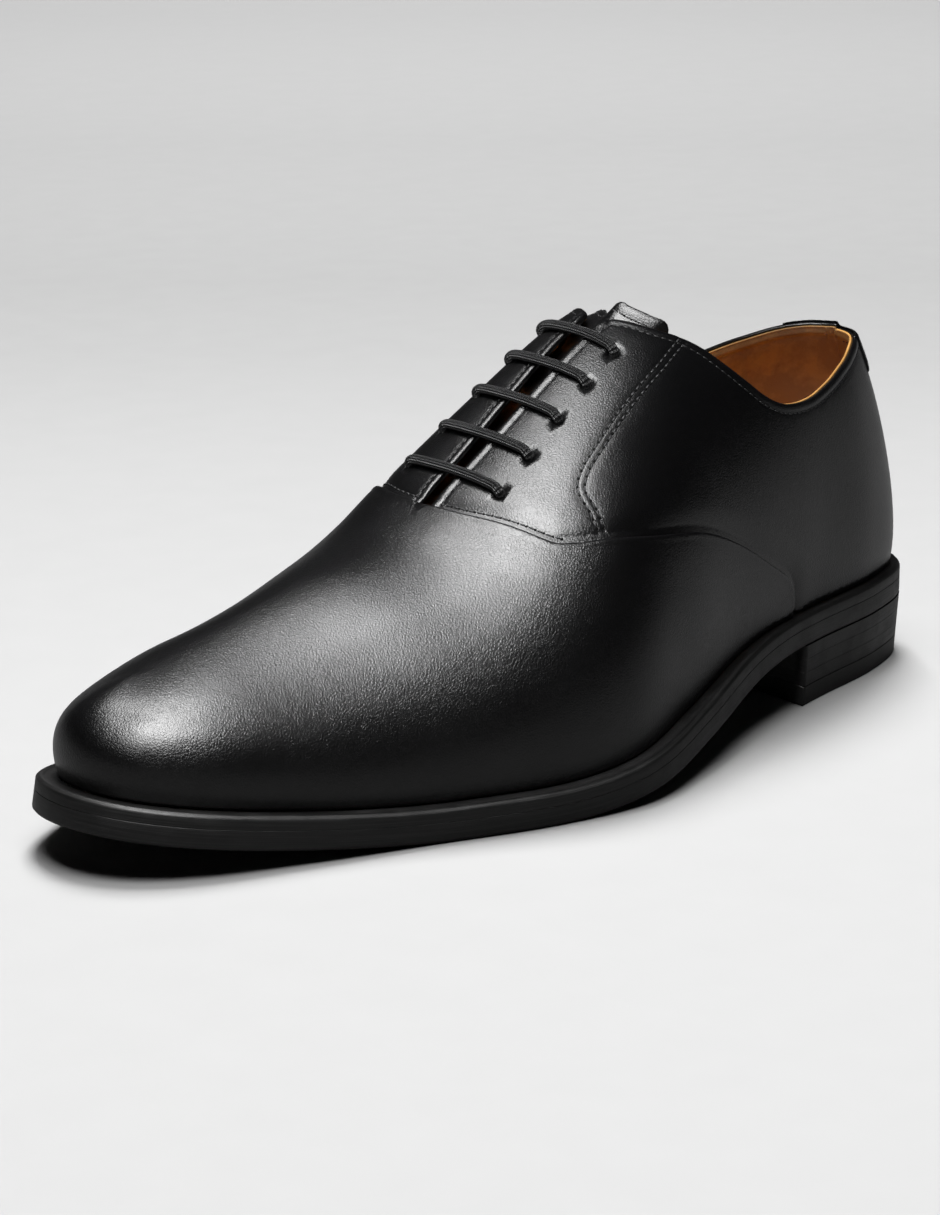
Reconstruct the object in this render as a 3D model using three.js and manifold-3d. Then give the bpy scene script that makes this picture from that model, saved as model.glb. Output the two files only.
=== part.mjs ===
// Left leather oxford shoe with a welted leather sole and a stacked heel.
// Millimetres. +X runs from the heel to the toe, +Y to the outer (lateral) side, +Z up.
// Every curved layer is laid off one last surface, so neighbours share the same form.
import * as THREE from 'three';
import Module from 'manifold-3d';
import { mergeVertices } from 'three/addons/utils/BufferGeometryUtils.js';

const wasm = await Module();
wasm.setup();

// ---------------------------------------------------------------- driving dimensions
const shoeLength = 305; // outsole, heel to toe
const soleWidth = 113; // outsole, across both sides
const gap = 0.3; // clearance between neighbouring pieces

const heelHeight = 18.3; // ground to the underside of the sole at the heel
const topPieceThickness = 6;
const heelLiftCount = 3;
const heelBreast = 70; // front face of the heel, from the back of the shoe
const heelTaper = 1.2; // how far the heel draws in at the ground
const toeSpring = 12; // tip of the toe above the ground
const outsoleThickness = 5.5;
const weltThickness = 3.4;
const weltWidth = 14;
const insoleThickness = 3;
const sockThickness = 1;
const shankWidth = 14;
const shankThickness = 1.2;
const shankStart = 52;
const shankEnd = 152;
const nailRadius = 0.9;
const nailCount = 5;

const weltReveal = 5.5; // welt left showing round the forepart
const heelReveal = 3; // and round the heel
const wallBulge = 5; // outward lean of the upper above the welt
const leather = 1.3;
const liningLeather = 1.2;
const stiffener = 1;
const facingGapTop = 7;
const facingGapBottom = 4.2;
const eyeletPairs = 5;
const eyeletReachBottom = 18.5; // middle of the facing gap to the eyelet, along the leather
const eyeletReachTop = 15;
const eyeletHole = 2; // radius
const eyeletFlange = 3.1; // radius
const eyeletThickness = 0.7;
const laceRadius = 1.3;
const agletRadius = 1.2;
const tongueThickness = 1.4;
const tongueLiningThickness = 0.8;
const tabThickness = 1.2;
const tabHalfWidth = 13;

// shape of the last: x as a share of the length, y as a share of the width, z in mm
const edgePoints = [
  [0, -0.035], [0.026, 0.133], [0.098, 0.23], [0.203, 0.296], [0.311, 0.381], [0.42, 0.496],
  [0.518, 0.568], [0.623, 0.529], [0.728, 0.434], [0.833, 0.341], [0.925, 0.243], [0.98, 0.124],
  [1, -0.031], [0.982, -0.186], [0.925, -0.288], [0.833, -0.385], [0.728, -0.432],
  [0.623, -0.389], [0.518, -0.301], [0.42, -0.239], [0.311, -0.248], [0.203, -0.292],
  [0.098, -0.283], [0.026, -0.195],
];
const crestHeight = [
  [0.04, 116], [0.197, 118], [0.361, 118.5], [0.416, 112.5], [0.492, 97], [0.564, 81.5],
  [0.639, 68.2], [0.721, 61.3], [0.803, 53.8], [0.898, 45.7],
];
const crestSide = [[0, -0.027], [0.36, 0], [0.62, 0], [0.8, -0.044], [0.9, -0.056]];
const crestReach = [
  [0, 0.105], [0.12, 0.152], [0.35, 0.351], [0.6, 0.582], [0.8, 0.812], [0.92, 0.861], [1, 0.9],
];
// how upright the wall starts and how flat it ends, at shares of the length
const shapeStops = [0, 0.072, 0.197, 0.361, 0.492, 0.623, 0.754, 0.885, 0.984];
const wallRise = {
  lateral: [0.15, 0.3, 0.73, 0.59, 0.57, 0.57, 0.51, 0.56, 0.68],
  medial: [0.15, 0.3, 0.77, 0.96, 0.97, 0.84, 0.44, 0.6, 0.68],
};
const crownWidth = {
  lateral: [0.47, 0.68, 0.75, 0.57, 0.59, 0.59, 0.51, 0.58, 0.68],
  medial: [0.47, 0.68, 0.77, 0.9, 0.95, 0.77, 0.45, 0.57, 0.68],
};
// seams seen from the side: x as a share of the length, z in mm
const toplinePoints = [
  [0.413, 128], [0.397, 117], [0.387, 115.6], [0.367, 112.5], [0.328, 106], [0.291, 97.1],
  [0.266, 92], [0.239, 89], [0.202, 88.2], [0.164, 90.8], [0.125, 93.4], [0.079, 96.2],
  [0.026, 97.3], [-0.05, 98],
];
const vampPoints = [
  [0.63, 110], [0.616, 84], [0.608, 77.5], [0.597, 75.6], [0.57, 72.2], [0.525, 68.6],
  [0.469, 66.4], [0.4, 63], [0.338, 55.6], [0.289, 46.7], [0.256, 39.5], [0.243, 32.4], [0.241, 5],
];
const throat = 0.605; // front end of the facing gap
const facingTop = 0.397;
const liningSeam = 0.61; // where the vamp lining meets the quarter linings
const firstEyelet = 0.565;
const lastEyelet = 0.415;
const puffStart = 0.78;
const counterEnd = 0.25;
const counterTop = 74;
const tongueTip = 0.325;
const tongueRoot = 0.655;

// ---------------------------------------------------------------- materials
const finish = (color, roughness, metalness = 0) =>
  new THREE.MeshStandardMaterial({ color, roughness, metalness });
const blackCalf = finish(0x16161a, 0.34);
const blackEdge = finish(0x1d1d20, 0.45);
const tanLining = finish(0x8a4f24, 0.6);
const veg = finish(0xb98a5a, 0.75);
const rubber = finish(0x1a1a1b, 0.7);
const cork = finish(0x8f6b44, 0.9);
const steel = finish(0x9a9ea3, 0.3, 1);
const canvas = finish(0xb7a98c, 0.9);
const blackCord = finish(0x121214, 0.5);

// ---------------------------------------------------------------- curves
const clamp01 = (value) => Math.min(1, Math.max(0, value));
const ease = (value) => clamp01(value) ** 2 * (3 - 2 * clamp01(value));

// smooth curve y(x) through points in order of x; each slope follows the neighbours
function through(points) {
  const slope = points.map((point, i) => {
    const before = points[Math.max(0, i - 1)];
    const after = points[Math.min(points.length - 1, i + 1)];
    return (after[1] - before[1]) / (after[0] - before[0]);
  });
  return (x) => {
    let i = 0;
    while (i < points.length - 2 && x > points[i + 1][0]) i += 1;
    const span = points[i + 1][0] - points[i][0];
    const t = clamp01((x - points[i][0]) / span);
    const a = points[i][1];
    const b = points[i + 1][1];
    const rise = slope[i] * span;
    const fall = slope[i + 1] * span;
    return a + rise * t + (3 * (b - a) - 2 * rise - fall) * t * t + (2 * (a - b) + rise + fall) * t ** 3;
  };
}

// underside of the sole: level heel seat, waist, flat tread, toe spring
const treadStart = 0.623 * shoeLength;
const treadEnd = 0.708 * shoeLength;
function ground(x) {
  const waist = heelHeight * (1 - ease((x - heelBreast) / (treadStart - heelBreast)));
  const spring = Math.max(0, (x - treadEnd) / (shoeLength - treadEnd));
  return waist + toeSpring * spring ** 1.5;
}
const soleSlope = (x) => Math.atan(ground(x + 0.5) - ground(x - 0.5));
// point of the sole stack at a distance square to the underside
function above(x, y, distance) {
  const angle = soleSlope(x);
  return new THREE.Vector3(
    x - distance * Math.sin(angle), y, ground(x) + distance * Math.cos(angle));
}

const edgeCurve = new THREE.CatmullRomCurve3(
  edgePoints.map(([x, y]) => new THREE.Vector3(x * shoeLength, y * soleWidth, 0)),
  true, 'catmullrom', 0.5);
const edgeLoop = edgeCurve.getPoints(480).slice(0, -1);

// the sole edge moved inwards, as its two sides y(x) between two ends
function sides(inset) {
  const count = edgeLoop.length;
  const moved = edgeLoop.map((point, i) => {
    const before = edgeLoop[(i + count - 1) % count];
    const after = edgeLoop[(i + 1) % count];
    const along = after.clone().sub(before).normalize();
    const distance = typeof inset === 'function' ? inset(point.x) : inset;
    return [point.x + along.y * distance, point.y - along.x * distance];
  });
  const byX = (a, b) => a[0] - b[0];
  const first = moved.reduce((best, point, i) => (point[0] < moved[best][0] ? i : best), 0);
  const turned = [...moved.slice(first), ...moved.slice(0, first)];
  const last = turned.reduce((best, point, i) => (point[0] > turned[best][0] ? i : best), 0);
  const lateral = turned.slice(0, last + 1).sort(byX);
  const medial = [...turned.slice(last), turned[0]].sort(byX);
  const line = (points) => (x) => {
    let i = 0;
    while (i < points.length - 2 && x > points[i + 1][0]) i += 1;
    const [a, b] = [points[i], points[i + 1]];
    return a[1] + (b[1] - a[1]) * clamp01((x - a[0]) / Math.max(b[0] - a[0], 1e-9));
  };
  return { start: turned[0][0], end: turned[last][0], lateral: line(lateral), medial: line(medial) };
}

const soleStations = 26;
function stations(start, end, stationCount, kept = []) {
  const list = [];
  for (let i = 0; i <= stationCount; i += 1) {
    list.push(start + (end - start) * (1 - Math.cos((Math.PI * i) / stationCount)) / 2);
  }
  const inside = kept.filter((x) => x > start + 1 && x < end - 1);
  const free = list.filter((x, i) =>
    i === 0 || i === stationCount || inside.every((other) => Math.abs(other - x) > 3));
  return [...free, ...inside].sort((a, b) => a - b);
}

// ---------------------------------------------------------------- solids
// triangles as [a, b, c] of Vector3; corners that coincide are merged and slivers dropped
function solidOf(triangles) {
  const geometry = new THREE.BufferGeometry();
  const numbers = triangles.flatMap((corners) => corners.flatMap((point) => point.toArray()));
  geometry.setAttribute('position', new THREE.Float32BufferAttribute(numbers, 3));
  return solidFrom(geometry);
}

function solidFrom(source) {
  let geometry = source.clone();
  geometry.deleteAttribute('normal');
  geometry.deleteAttribute('uv');
  geometry = mergeVertices(geometry, 1e-4);
  const triVerts = [];
  const index = geometry.index.array;
  for (let i = 0; i < index.length; i += 3) {
    const [a, b, c] = [index[i], index[i + 1], index[i + 2]];
    if (a !== b && b !== c && a !== c) triVerts.push(a, b, c);
  }
  const mesh = new wasm.Mesh({
    numProp: 3,
    vertProperties: new Float32Array(geometry.attributes.position.array),
    triVerts: new Uint32Array(triVerts),
  });
  return new wasm.Manifold(mesh);
}

function geometryOf(solid) {
  const mesh = solid.getMesh();
  const geometry = new THREE.BufferGeometry();
  geometry.setAttribute('position', new THREE.Float32BufferAttribute(mesh.vertProperties, 3));
  geometry.setIndex([...mesh.triVerts]);
  geometry.computeVertexNormals();
  return geometry;
}

// closed rings of equal length joined in order, with both ends capped
function loft(rings) {
  const triangles = [];
  for (let r = 0; r + 1 < rings.length; r += 1) {
    const [low, high] = [rings[r], rings[r + 1]];
    for (let i = 0; i < low.length; i += 1) {
      const next = (i + 1) % low.length;
      triangles.push([low[i], low[next], high[next]], [low[i], high[next], high[i]]);
    }
  }
  const cap = (ring, flip) => {
    const flat = ring.map((point) => new THREE.Vector2(point.x, point.y));
    for (const [a, b, c] of THREE.ShapeUtils.triangulateShape(flat, [])) {
      triangles.push(flip ? [ring[c], ring[b], ring[a]] : [ring[a], ring[b], ring[c]]);
    }
  };
  cap(rings[0], true);
  cap(rings[rings.length - 1], false);
  return solidOf(triangles);
}

// a layer of the sole stack between two distances from the underside
function soleLayer(inset, low, high, kept = [heelBreast, treadStart, treadEnd]) {
  const edge = sides(inset);
  const xs = stations(edge.start, edge.end, soleStations, kept);
  const corner = (x, side, distance) => above(x, edge[side](x), distance);
  const triangles = [];
  const quad = (a, b, c, d) => triangles.push([a, b, c], [a, c, d]);
  for (let i = 0; i + 1 < xs.length; i += 1) {
    const [x, next] = [xs[i], xs[i + 1]];
    const atTip = i === 0 ? x : null;
    const joined = i + 2 === xs.length ? next : null;
    const at = (station, side, distance) =>
      corner(station, station === atTip || station === joined ? 'lateral' : side, distance);
    const [ll, lh] = [at(x, 'lateral', low), at(x, 'lateral', high)];
    const [ml, mh] = [at(x, 'medial', low), at(x, 'medial', high)];
    const [nll, nlh] = [at(next, 'lateral', low), at(next, 'lateral', high)];
    const [nml, nmh] = [at(next, 'medial', low), at(next, 'medial', high)];
    quad(ll, lh, nlh, nll);
    quad(ml, nml, nmh, mh);
    quad(lh, mh, nmh, nlh);
    quad(ll, nll, nml, ml);
  }
  return solidOf(triangles);
}

// upright prism over a plan outline, and a prism across the shoe over a side outline
function planPrism(points, low, high) {
  const shape = new THREE.Shape(points.map(([x, y]) => new THREE.Vector2(x, y)));
  const geometry = new THREE.ExtrudeGeometry(shape, { depth: high - low, bevelEnabled: false });
  return solidFrom(geometry.translate(0, 0, low));
}
const reach = 4 * soleWidth;
function sidePrism(points, from = -reach, to = reach) {
  const shape = new THREE.Shape(points.map(([x, z]) => new THREE.Vector2(x, z)));
  const geometry = new THREE.ExtrudeGeometry(shape, { depth: to - from, bevelEnabled: false });
  return solidFrom(geometry.rotateX(Math.PI / 2).translate(0, to, 0));
}
const scaled = (points) => points.map(([x, z]) => [x * shoeLength, z]);
function smoothPath(points, steps) {
  const curve = new THREE.SplineCurve(scaled(points).map(([x, z]) => new THREE.Vector2(x, z)));
  return curve.getPoints(steps).map((point) => [point.x, point.y]);
}

// ---------------------------------------------------------------- last surface
const soleStack = outsoleThickness + gap + weltThickness;
const featherInset = (x) => heelReveal + (weltReveal - heelReveal) * ease((x - 60) / 90);
const feather = sides(featherInset);
const featherStations = stations(feather.start, feather.end, 22);
const ribLevels = 8;
const crestZ = through(crestHeight);
const crestY = through(crestSide);
const crestX = through(crestReach);
const table = (values) => through(shapeStops.map((stop, i) => [stop, values[i]]));
const rise = { lateral: table(wallRise.lateral), medial: table(wallRise.medial) };
const crown = { lateral: table(crownWidth.lateral), medial: table(crownWidth.medial) };

function eyeletReach(x) {
  const share = (x / shoeLength - lastEyelet) / (firstEyelet - lastEyelet);
  return eyeletReachTop + (eyeletReachBottom - eyeletReachTop) * clamp01(share);
}

// one rib of the last from the welt up to the crest, its levels counted from the crest
function rib(x, side) {
  const share = (x - feather.start) / (feather.end - feather.start);
  const foot = above(x, feather[side](x), soleStack + gap);
  const top = crestX(share);
  const crest = new THREE.Vector3(top * shoeLength, crestY(top) * soleWidth, crestZ(top));
  const across = new THREE.Vector3(crest.x - foot.x, crest.y - foot.y, 0);
  const inward = across.clone().normalize();
  const station = x / shoeLength;
  const lower = foot.clone().addScaledVector(inward, -wallBulge);
  lower.z += rise[side](station) * (crest.z - foot.z);
  const flat = crown[side](station);
  const fall = (crestZ(top + 0.004) - crestZ(top - 0.004)) / (0.008 * shoeLength);
  const upper = crest.clone().addScaledVector(across, -flat);
  upper.z -= fall * across.x * flat;
  const samples = new THREE.CubicBezierCurve3(crest, upper, lower, foot).getPoints(60);
  const run = [0];
  for (let i = 1; i < samples.length; i += 1) {
    run.push(run[i - 1] + samples[i].distanceTo(samples[i - 1]));
  }
  const total = run[run.length - 1];
  const eyelet = eyeletReach(crest.x);
  const marks = [0, (eyelet - 5) * 0.42, eyelet - 5, eyelet + 5];
  for (let level = 4; level <= ribLevels; level += 1) {
    marks.push(eyelet + 5 + ((total - eyelet - 5) * (level - 3)) / (ribLevels - 3));
  }
  return marks.map((mark) => {
    let i = 1;
    while (i < samples.length - 1 && run[i] < mark) i += 1;
    const part = clamp01((mark - run[i - 1]) / (run[i] - run[i - 1]));
    return samples[i - 1].clone().lerp(samples[i], part);
  });
}

// ribs all the way round: out along the lateral side, back along the medial side
const last = featherStations.length - 1;
const ring = [];
for (let i = 0; i < 2 * last; i += 1) {
  const station = i <= last ? i : 2 * last - i;
  ring.push(rib(featherStations[station], i <= last ? 'lateral' : 'medial'));
}
const vertexId = (i, level) => {
  const column = (i + 2 * last) % (2 * last);
  return level === 0 ? Math.min(column, 2 * last - column) : last + 1 + column * ribLevels + level - 1;
};
const surface = [];
ring.forEach((points, i) => points.forEach((point, level) => {
  surface[vertexId(i, level)] = point;
}));
const faces = [];
for (let i = 0; i < 2 * last; i += 1) {
  for (let level = 0; level < ribLevels; level += 1) {
    const [a, b] = [vertexId(i, level + 1), vertexId(i + 1, level + 1)];
    const [c, d] = [vertexId(i + 1, level), vertexId(i, level)];
    faces.push([a, c, b], [a, d, c]);
  }
}
const normals = surface.map(() => new THREE.Vector3());
for (const [a, b, c] of faces) {
  const edge = surface[b].clone().sub(surface[a]);
  const normal = edge.cross(surface[c].clone().sub(surface[a]));
  for (const corner of [a, b, c]) normals[corner].add(normal);
}
normals.forEach((normal) => normal.normalize());

// closed shell between two depths below the last surface; a depth may vary with place,
// and the wall may run on below the welt line
function shell(outer, inner, runOn = 0) {
  const depthAt = (depth, point) => (typeof depth === 'function' ? depth(point.x) : depth);
  const place = (id, depth) => {
    const point = surface[id].clone().addScaledVector(normals[id], -depthAt(depth, surface[id]));
    if (runOn > 0 && id > last && (id - last) % ribLevels === 0) {
      point.addScaledVector(point.clone().sub(place(id - 1, depth)).normalize(), runOn);
    }
    return point;
  };
  const triangles = [];
  for (const [a, b, c] of faces) {
    triangles.push([place(a, outer), place(b, outer), place(c, outer)]);
    triangles.push([place(c, inner), place(b, inner), place(a, inner)]);
  }
  for (let i = 0; i < 2 * last; i += 1) {
    const [a, b] = [vertexId(i, ribLevels), vertexId(i + 1, ribLevels)];
    triangles.push([place(a, outer), place(b, outer), place(b, inner)]);
    triangles.push([place(a, outer), place(b, inner), place(a, inner)]);
  }
  return solidOf(triangles);
}

// point over the last surface at a given x; level 0 is the crest, higher levels lie lower
function onUpper(x, level, side, height) {
  const from = Math.floor(Math.min(level, ribLevels - 1));
  const at = (whole) => {
    let i = 0;
    const column = (k) => (side === 'lateral' ? k : 2 * last - k);
    while (i < last - 1 && surface[vertexId(column(i + 1), whole)].x < x) i += 1;
    const [a, b] = [vertexId(column(i), whole), vertexId(column(i + 1), whole)];
    const part = clamp01((x - surface[a].x) / (surface[b].x - surface[a].x));
    return [surface[a].clone().lerp(surface[b], part), normals[a].clone().lerp(normals[b], part)];
  };
  const [low, high] = [at(from), at(from + 1)];
  const point = low[0].lerp(high[0], level - from);
  const normal = low[1].lerp(high[1], level - from);
  point.addScaledVector(normal, height);
  return { point, normal: normal.normalize() };
}

// ---------------------------------------------------------------- cutting tools
const topline = smoothPath(toplinePoints, 40);
const vampLine = smoothPath(vampPoints, 40);
const far = 2 * shoeLength;
const aboveTopline = sidePrism([...topline, [-far, 98], [-far, far], [topline[0][0], far]]);
const vampSide = (shift) => {
  const line = vampLine.map(([x, z]) => [x + shift, z - shift]);
  return sidePrism([...line, [line[line.length - 1][0], -far], [far, -far], [far, 110]]);
};
const vampZone = vampSide(gap / 2);
const vampZoneWide = vampSide(-gap / 2 - 0.05);

// band along the middle: a closed seam at the heel, the open facing gap at the instep
function middleBand(side = 0) {
  const halves = [
    [-0.1, -0.035, gap / 2], [0.1, -0.035, gap / 2], [0.22, -0.015, gap / 2],
    [0.3, 0, facingGapTop / 2], [facingTop, 0, facingGapTop / 2],
    [throat, 0, facingGapBottom / 2], [throat + 0.03, 0, facingGapBottom / 2],
  ].map(([x, y, half]) => [x * shoeLength, y * soleWidth, half]);
  const upper = halves.map(([x, y, half]) => [x, y + half]);
  const lower = halves.map(([x, y, half]) => [x, y - half]).reverse();
  const edge = side === 0 ? [...upper, ...lower] : null;
  if (edge) return planPrism(edge, -far, far);
  const line = side > 0 ? upper : [...lower].reverse();
  return planPrism([...line, [line[line.length - 1][0], side * far], [line[0][0], side * far]], -far, far);
}
const lateralHalf = middleBand(1);
const medialHalf = middleBand(-1);
const slabX = (from, to) => sidePrism([[from, -far], [to, -far], [to, far], [from, far]]);

function cylinderAt({ point, normal }, radius, outward, inward, sidesCount = 8) {
  const geometry = new THREE.CylinderGeometry(radius, radius, outward + inward, sidesCount);
  const turn = new THREE.Quaternion().setFromUnitVectors(new THREE.Vector3(0, 1, 0), normal);
  geometry.translate(0, (outward - inward) / 2, 0).applyQuaternion(turn);
  return solidFrom(geometry.translate(point.x, point.y, point.z));
}

// ---------------------------------------------------------------- parts
const shoe = new THREE.Group();
function add(name, solid, material) {
  const mesh = new THREE.Mesh(solid instanceof THREE.BufferGeometry ? solid : geometryOf(solid), material);
  mesh.name = name;
  shoe.add(mesh);
}

// eyelet places, from the throat up
const eyelets = [];
for (let row = 0; row < eyeletPairs; row += 1) {
  const share = row / (eyeletPairs - 1);
  eyelets.push((firstEyelet + (lastEyelet - firstEyelet) * share) * shoeLength);
}
const eyeletLevel = 2.5;
const eachEyelet = (side, make) =>
  eyelets.map((x, row) => make(onUpper(x, eyeletLevel, side, 0), row));

// heel: a rubber top piece and leather lifts, nailed together
function heelRing(z) {
  const draw = heelTaper * (1 - z / heelHeight);
  const edge = sides(draw);
  const front = heelBreast - draw * 0.4;
  const steps = 12;
  const lateral = [];
  const medial = [];
  for (let i = 0; i <= steps; i += 1) {
    const x = edge.start + (front - edge.start) * (1 - Math.cos((Math.PI * i) / (2 * steps)));
    lateral.push(new THREE.Vector3(x, edge.lateral(x), z));
    if (i > 0) medial.push(new THREE.Vector3(x, edge.medial(x), z));
  }
  return [...medial, ...lateral.reverse()];
}
const liftThickness = (heelHeight - topPieceThickness) / heelLiftCount;
const nails = [];
for (let i = 0; i < nailCount; i += 1) {
  const angle = Math.PI * (0.3 + (1.4 * i) / (nailCount - 1));
  const centre = heelBreast * 0.5;
  const radius = heelBreast * 0.26;
  nails.push([centre + radius * Math.cos(angle), -0.03 * soleWidth + radius * Math.sin(angle)]);
}
const nailSides = 8;
const upright = (x, y, z) =>
  ({ point: new THREE.Vector3(x, y, z), normal: new THREE.Vector3(0, 0, 1) });
add('top_piece', loft([heelRing(0), heelRing(topPieceThickness)]), rubber);
for (let lift = 0; lift < heelLiftCount; lift += 1) {
  const low = topPieceThickness + lift * liftThickness;
  let solid = loft([heelRing(low), heelRing(low + liftThickness)]);
  for (const [x, y] of nails) {
    solid = solid.subtract(
      cylinderAt(upright(x, y, low), nailRadius + gap, liftThickness + 1, 1, nailSides));
  }
  add(`heel_lift_${lift + 1}`, solid, blackEdge);
}
nails.forEach(([x, y], i) => {
  const low = topPieceThickness + gap;
  const length = heelHeight - topPieceThickness - 2 * gap;
  add(`heel_nail_${i + 1}`, cylinderAt(upright(x, y, low), nailRadius, length, 0, nailSides), steel);
});

// sole stack
const weltLow = outsoleThickness + gap;
const insoleLow = soleStack + gap;
const insoleHigh = insoleLow + insoleThickness;
const upperDepth = leather + 2 * gap + stiffener + gap + liningLeather;
const insoleInset = (x) => featherInset(x) + upperDepth + gap;
const fillerInset = weltWidth + gap;
const shankCentre = (x) => (sides(0).lateral(x) + sides(0).medial(x)) / 2;
function shankOutline(grow) {
  const half = shankWidth / 2 + grow;
  const xs = [shankStart - grow, (shankStart + shankEnd) / 2, shankEnd + grow];
  const outward = xs.map((x) => [x, shankCentre(x) + half]);
  const back = xs.map((x) => [x, shankCentre(x) - half]).reverse();
  return planPrism([...outward, ...back], -far, far);
}
const shankHigh = soleStack - 0.1;
const shankLow = shankHigh - shankThickness;
add('outsole', soleLayer(0, 0, outsoleThickness), blackEdge);
add('welt', soleLayer(0, weltLow, soleStack).subtract(soleLayer(weltWidth, 0, 3 * soleStack)), blackEdge);
add('cork_filler', soleLayer(fillerInset, weltLow, soleStack)
  .subtract(soleLayer(fillerInset, shankLow - gap, 3 * soleStack).intersect(shankOutline(gap))), cork);
add('shank', soleLayer(fillerInset, shankLow, shankHigh).intersect(shankOutline(0)), steel);
add('insole', soleLayer(insoleInset, insoleLow, insoleHigh), veg);
add('sock_lining',
  soleLayer((x) => insoleInset(x) + gap, insoleHigh + gap, insoleHigh + gap + sockThickness), tanLining);

// upper leather, its stiffeners and linings
const upperLeather = shell(0, leather);
const laceHoles = (solid, side, radius) => eachEyelet(side, (place) => place)
  .reduce((rest, place) => rest.subtract(cylinderAt(place, radius, 6, 6)), solid);
add('vamp', upperLeather.intersect(vampZone), blackCalf);
const quarters = upperLeather.subtract(vampZoneWide).subtract(aboveTopline);
add('quarter_lateral', laceHoles(quarters.intersect(lateralHalf), 'lateral', eyeletHole), blackCalf);
add('quarter_medial', laceHoles(quarters.intersect(medialHalf), 'medial', eyeletHole), blackCalf);

const stiffenerDepth = leather + gap;
const puffZone = (grow) => slabX(puffStart * shoeLength - grow, far);
const counterZone = (grow) => sidePrism([
  [-far, -far], [counterEnd * shoeLength + grow, -far],
  [counterEnd * shoeLength + grow, counterTop * 0.7 + grow],
  [counterEnd * shoeLength * 0.5, counterTop + grow], [-far, counterTop + grow],
]);
const stiffenerShell = shell(stiffenerDepth, stiffenerDepth + stiffener);
add('toe_puff', stiffenerShell.intersect(puffZone(0)), canvas);
add('heel_counter', stiffenerShell.intersect(counterZone(0)), veg);

const rim = 2.5;
const thinLining = shell(stiffenerDepth, stiffenerDepth + liningLeather);
const thickLining = shell(stiffenerDepth, stiffenerDepth + stiffener + gap + liningLeather);
const stiffenerRoom = shell(0, stiffenerDepth + stiffener + gap, rim);
function liningOver(zone) {
  const pocket = thickLining.intersect(zone(rim)).subtract(stiffenerRoom.intersect(zone(gap)));
  return thinLining.subtract(zone(gap)).add(pocket);
}
const seamX = liningSeam * shoeLength;
add('vamp_lining', liningOver(puffZone).intersect(slabX(seamX + gap, far)), canvas);
const quarterLining = liningOver(counterZone).intersect(slabX(-far, seamX)).subtract(aboveTopline);
const eyeletRoom = eyeletFlange + gap;
add('quarter_lining_lateral',
  laceHoles(quarterLining.intersect(lateralHalf), 'lateral', eyeletRoom), tanLining);
add('quarter_lining_medial',
  laceHoles(quarterLining.intersect(medialHalf), 'medial', eyeletRoom), tanLining);

// blind eyelets set between the leather and the lining
for (const side of ['lateral', 'medial']) {
  eachEyelet(side, (place, row) => {
    const high = -stiffenerDepth - 0.25;
    const low = high - eyeletThickness;
    const profile = [
      [eyeletHole, low], [eyeletFlange, low], [eyeletFlange, high], [eyeletHole, high],
      [eyeletHole, low],
    ];
    const geometry = new THREE.LatheGeometry(profile.map(([r, y]) => new THREE.Vector2(r, y)), 8);
    const turn = new THREE.Quaternion().setFromUnitVectors(new THREE.Vector3(0, 1, 0), place.normal);
    geometry.applyQuaternion(turn).translate(place.point.x, place.point.y, place.point.z);
    add(`eyelet_${side}_${row + 1}`, geometryOf(solidFrom(geometry)), steel);
  });
}

// back tab over the top of the heel seam
const heelMiddle = -0.035 * soleWidth;
const tabLow = 84;
const tabFront = 0.12 * shoeLength;
const tabZone = planPrism([
  [-far, heelMiddle - tabHalfWidth], [tabFront, heelMiddle - tabHalfWidth],
  [tabFront, heelMiddle + tabHalfWidth], [-far, heelMiddle + tabHalfWidth],
], tabLow, far);
add('back_tab', shell(-gap - tabThickness, -gap).intersect(tabZone).subtract(aboveTopline), blackCalf);

// tongue: hangs below the hidden lace runs, rises to the vamp lining at its root
const laceDepth = stiffenerDepth + liningLeather + gap + laceRadius;
const tongueDepth = laceDepth + laceRadius + gap;
const tongueRootDepth = stiffenerDepth + liningLeather + gap;
const tongueTipDepth = 3;
const tongueMedialShare = 0.74; // the inner side of the instep falls away sooner
function tongueLift(x) {
  const share = x / shoeLength;
  const root = ease((share - throat + 0.005) / (tongueRoot - throat - 0.01));
  const tip = ease((facingTop - 0.012 - share) / 0.05);
  return tongueDepth - (tongueDepth - tongueRootDepth) * root - (tongueDepth - tongueTipDepth) * tip;
}
function tongueOutline(inset) {
  const halves = [
    [tongueTip, 8], [tongueTip + 0.008, 12], [tongueTip + 0.03, 16], [facingTop, 16.5],
    [tongueRoot, 17],
  ].map(([x, half]) => [x * shoeLength, half - inset]);
  halves[0][0] += inset;
  const lateral = halves.map(([x, half]) => [x, half]);
  const medial = halves.map(([x, half]) => [x, -half * tongueMedialShare]).reverse();
  return planPrism([...lateral, ...medial], -far, far);
}
const tongueFloor = sidePrism([
  [0.2, 92], [tongueTip, 92], [0.41, 88], [0.5, 74], [0.6, 54], [tongueRoot + 0.01, 46],
  [tongueRoot + 0.01, 200], [0.2, 200],
].map(([x, z]) => [x * shoeLength, z]));
const tongueLayer = (outer, inner, inset) =>
  shell((x) => tongueLift(x) + outer, (x) => tongueLift(x) + inner)
    .intersect(tongueOutline(inset)).intersect(tongueFloor);
const liningTop = tongueThickness + gap;
add('tongue', tongueLayer(0, tongueThickness, 0), blackCalf);
add('tongue_lining', tongueLayer(liningTop, liningTop + tongueLiningThickness, 2), tanLining);

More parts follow.
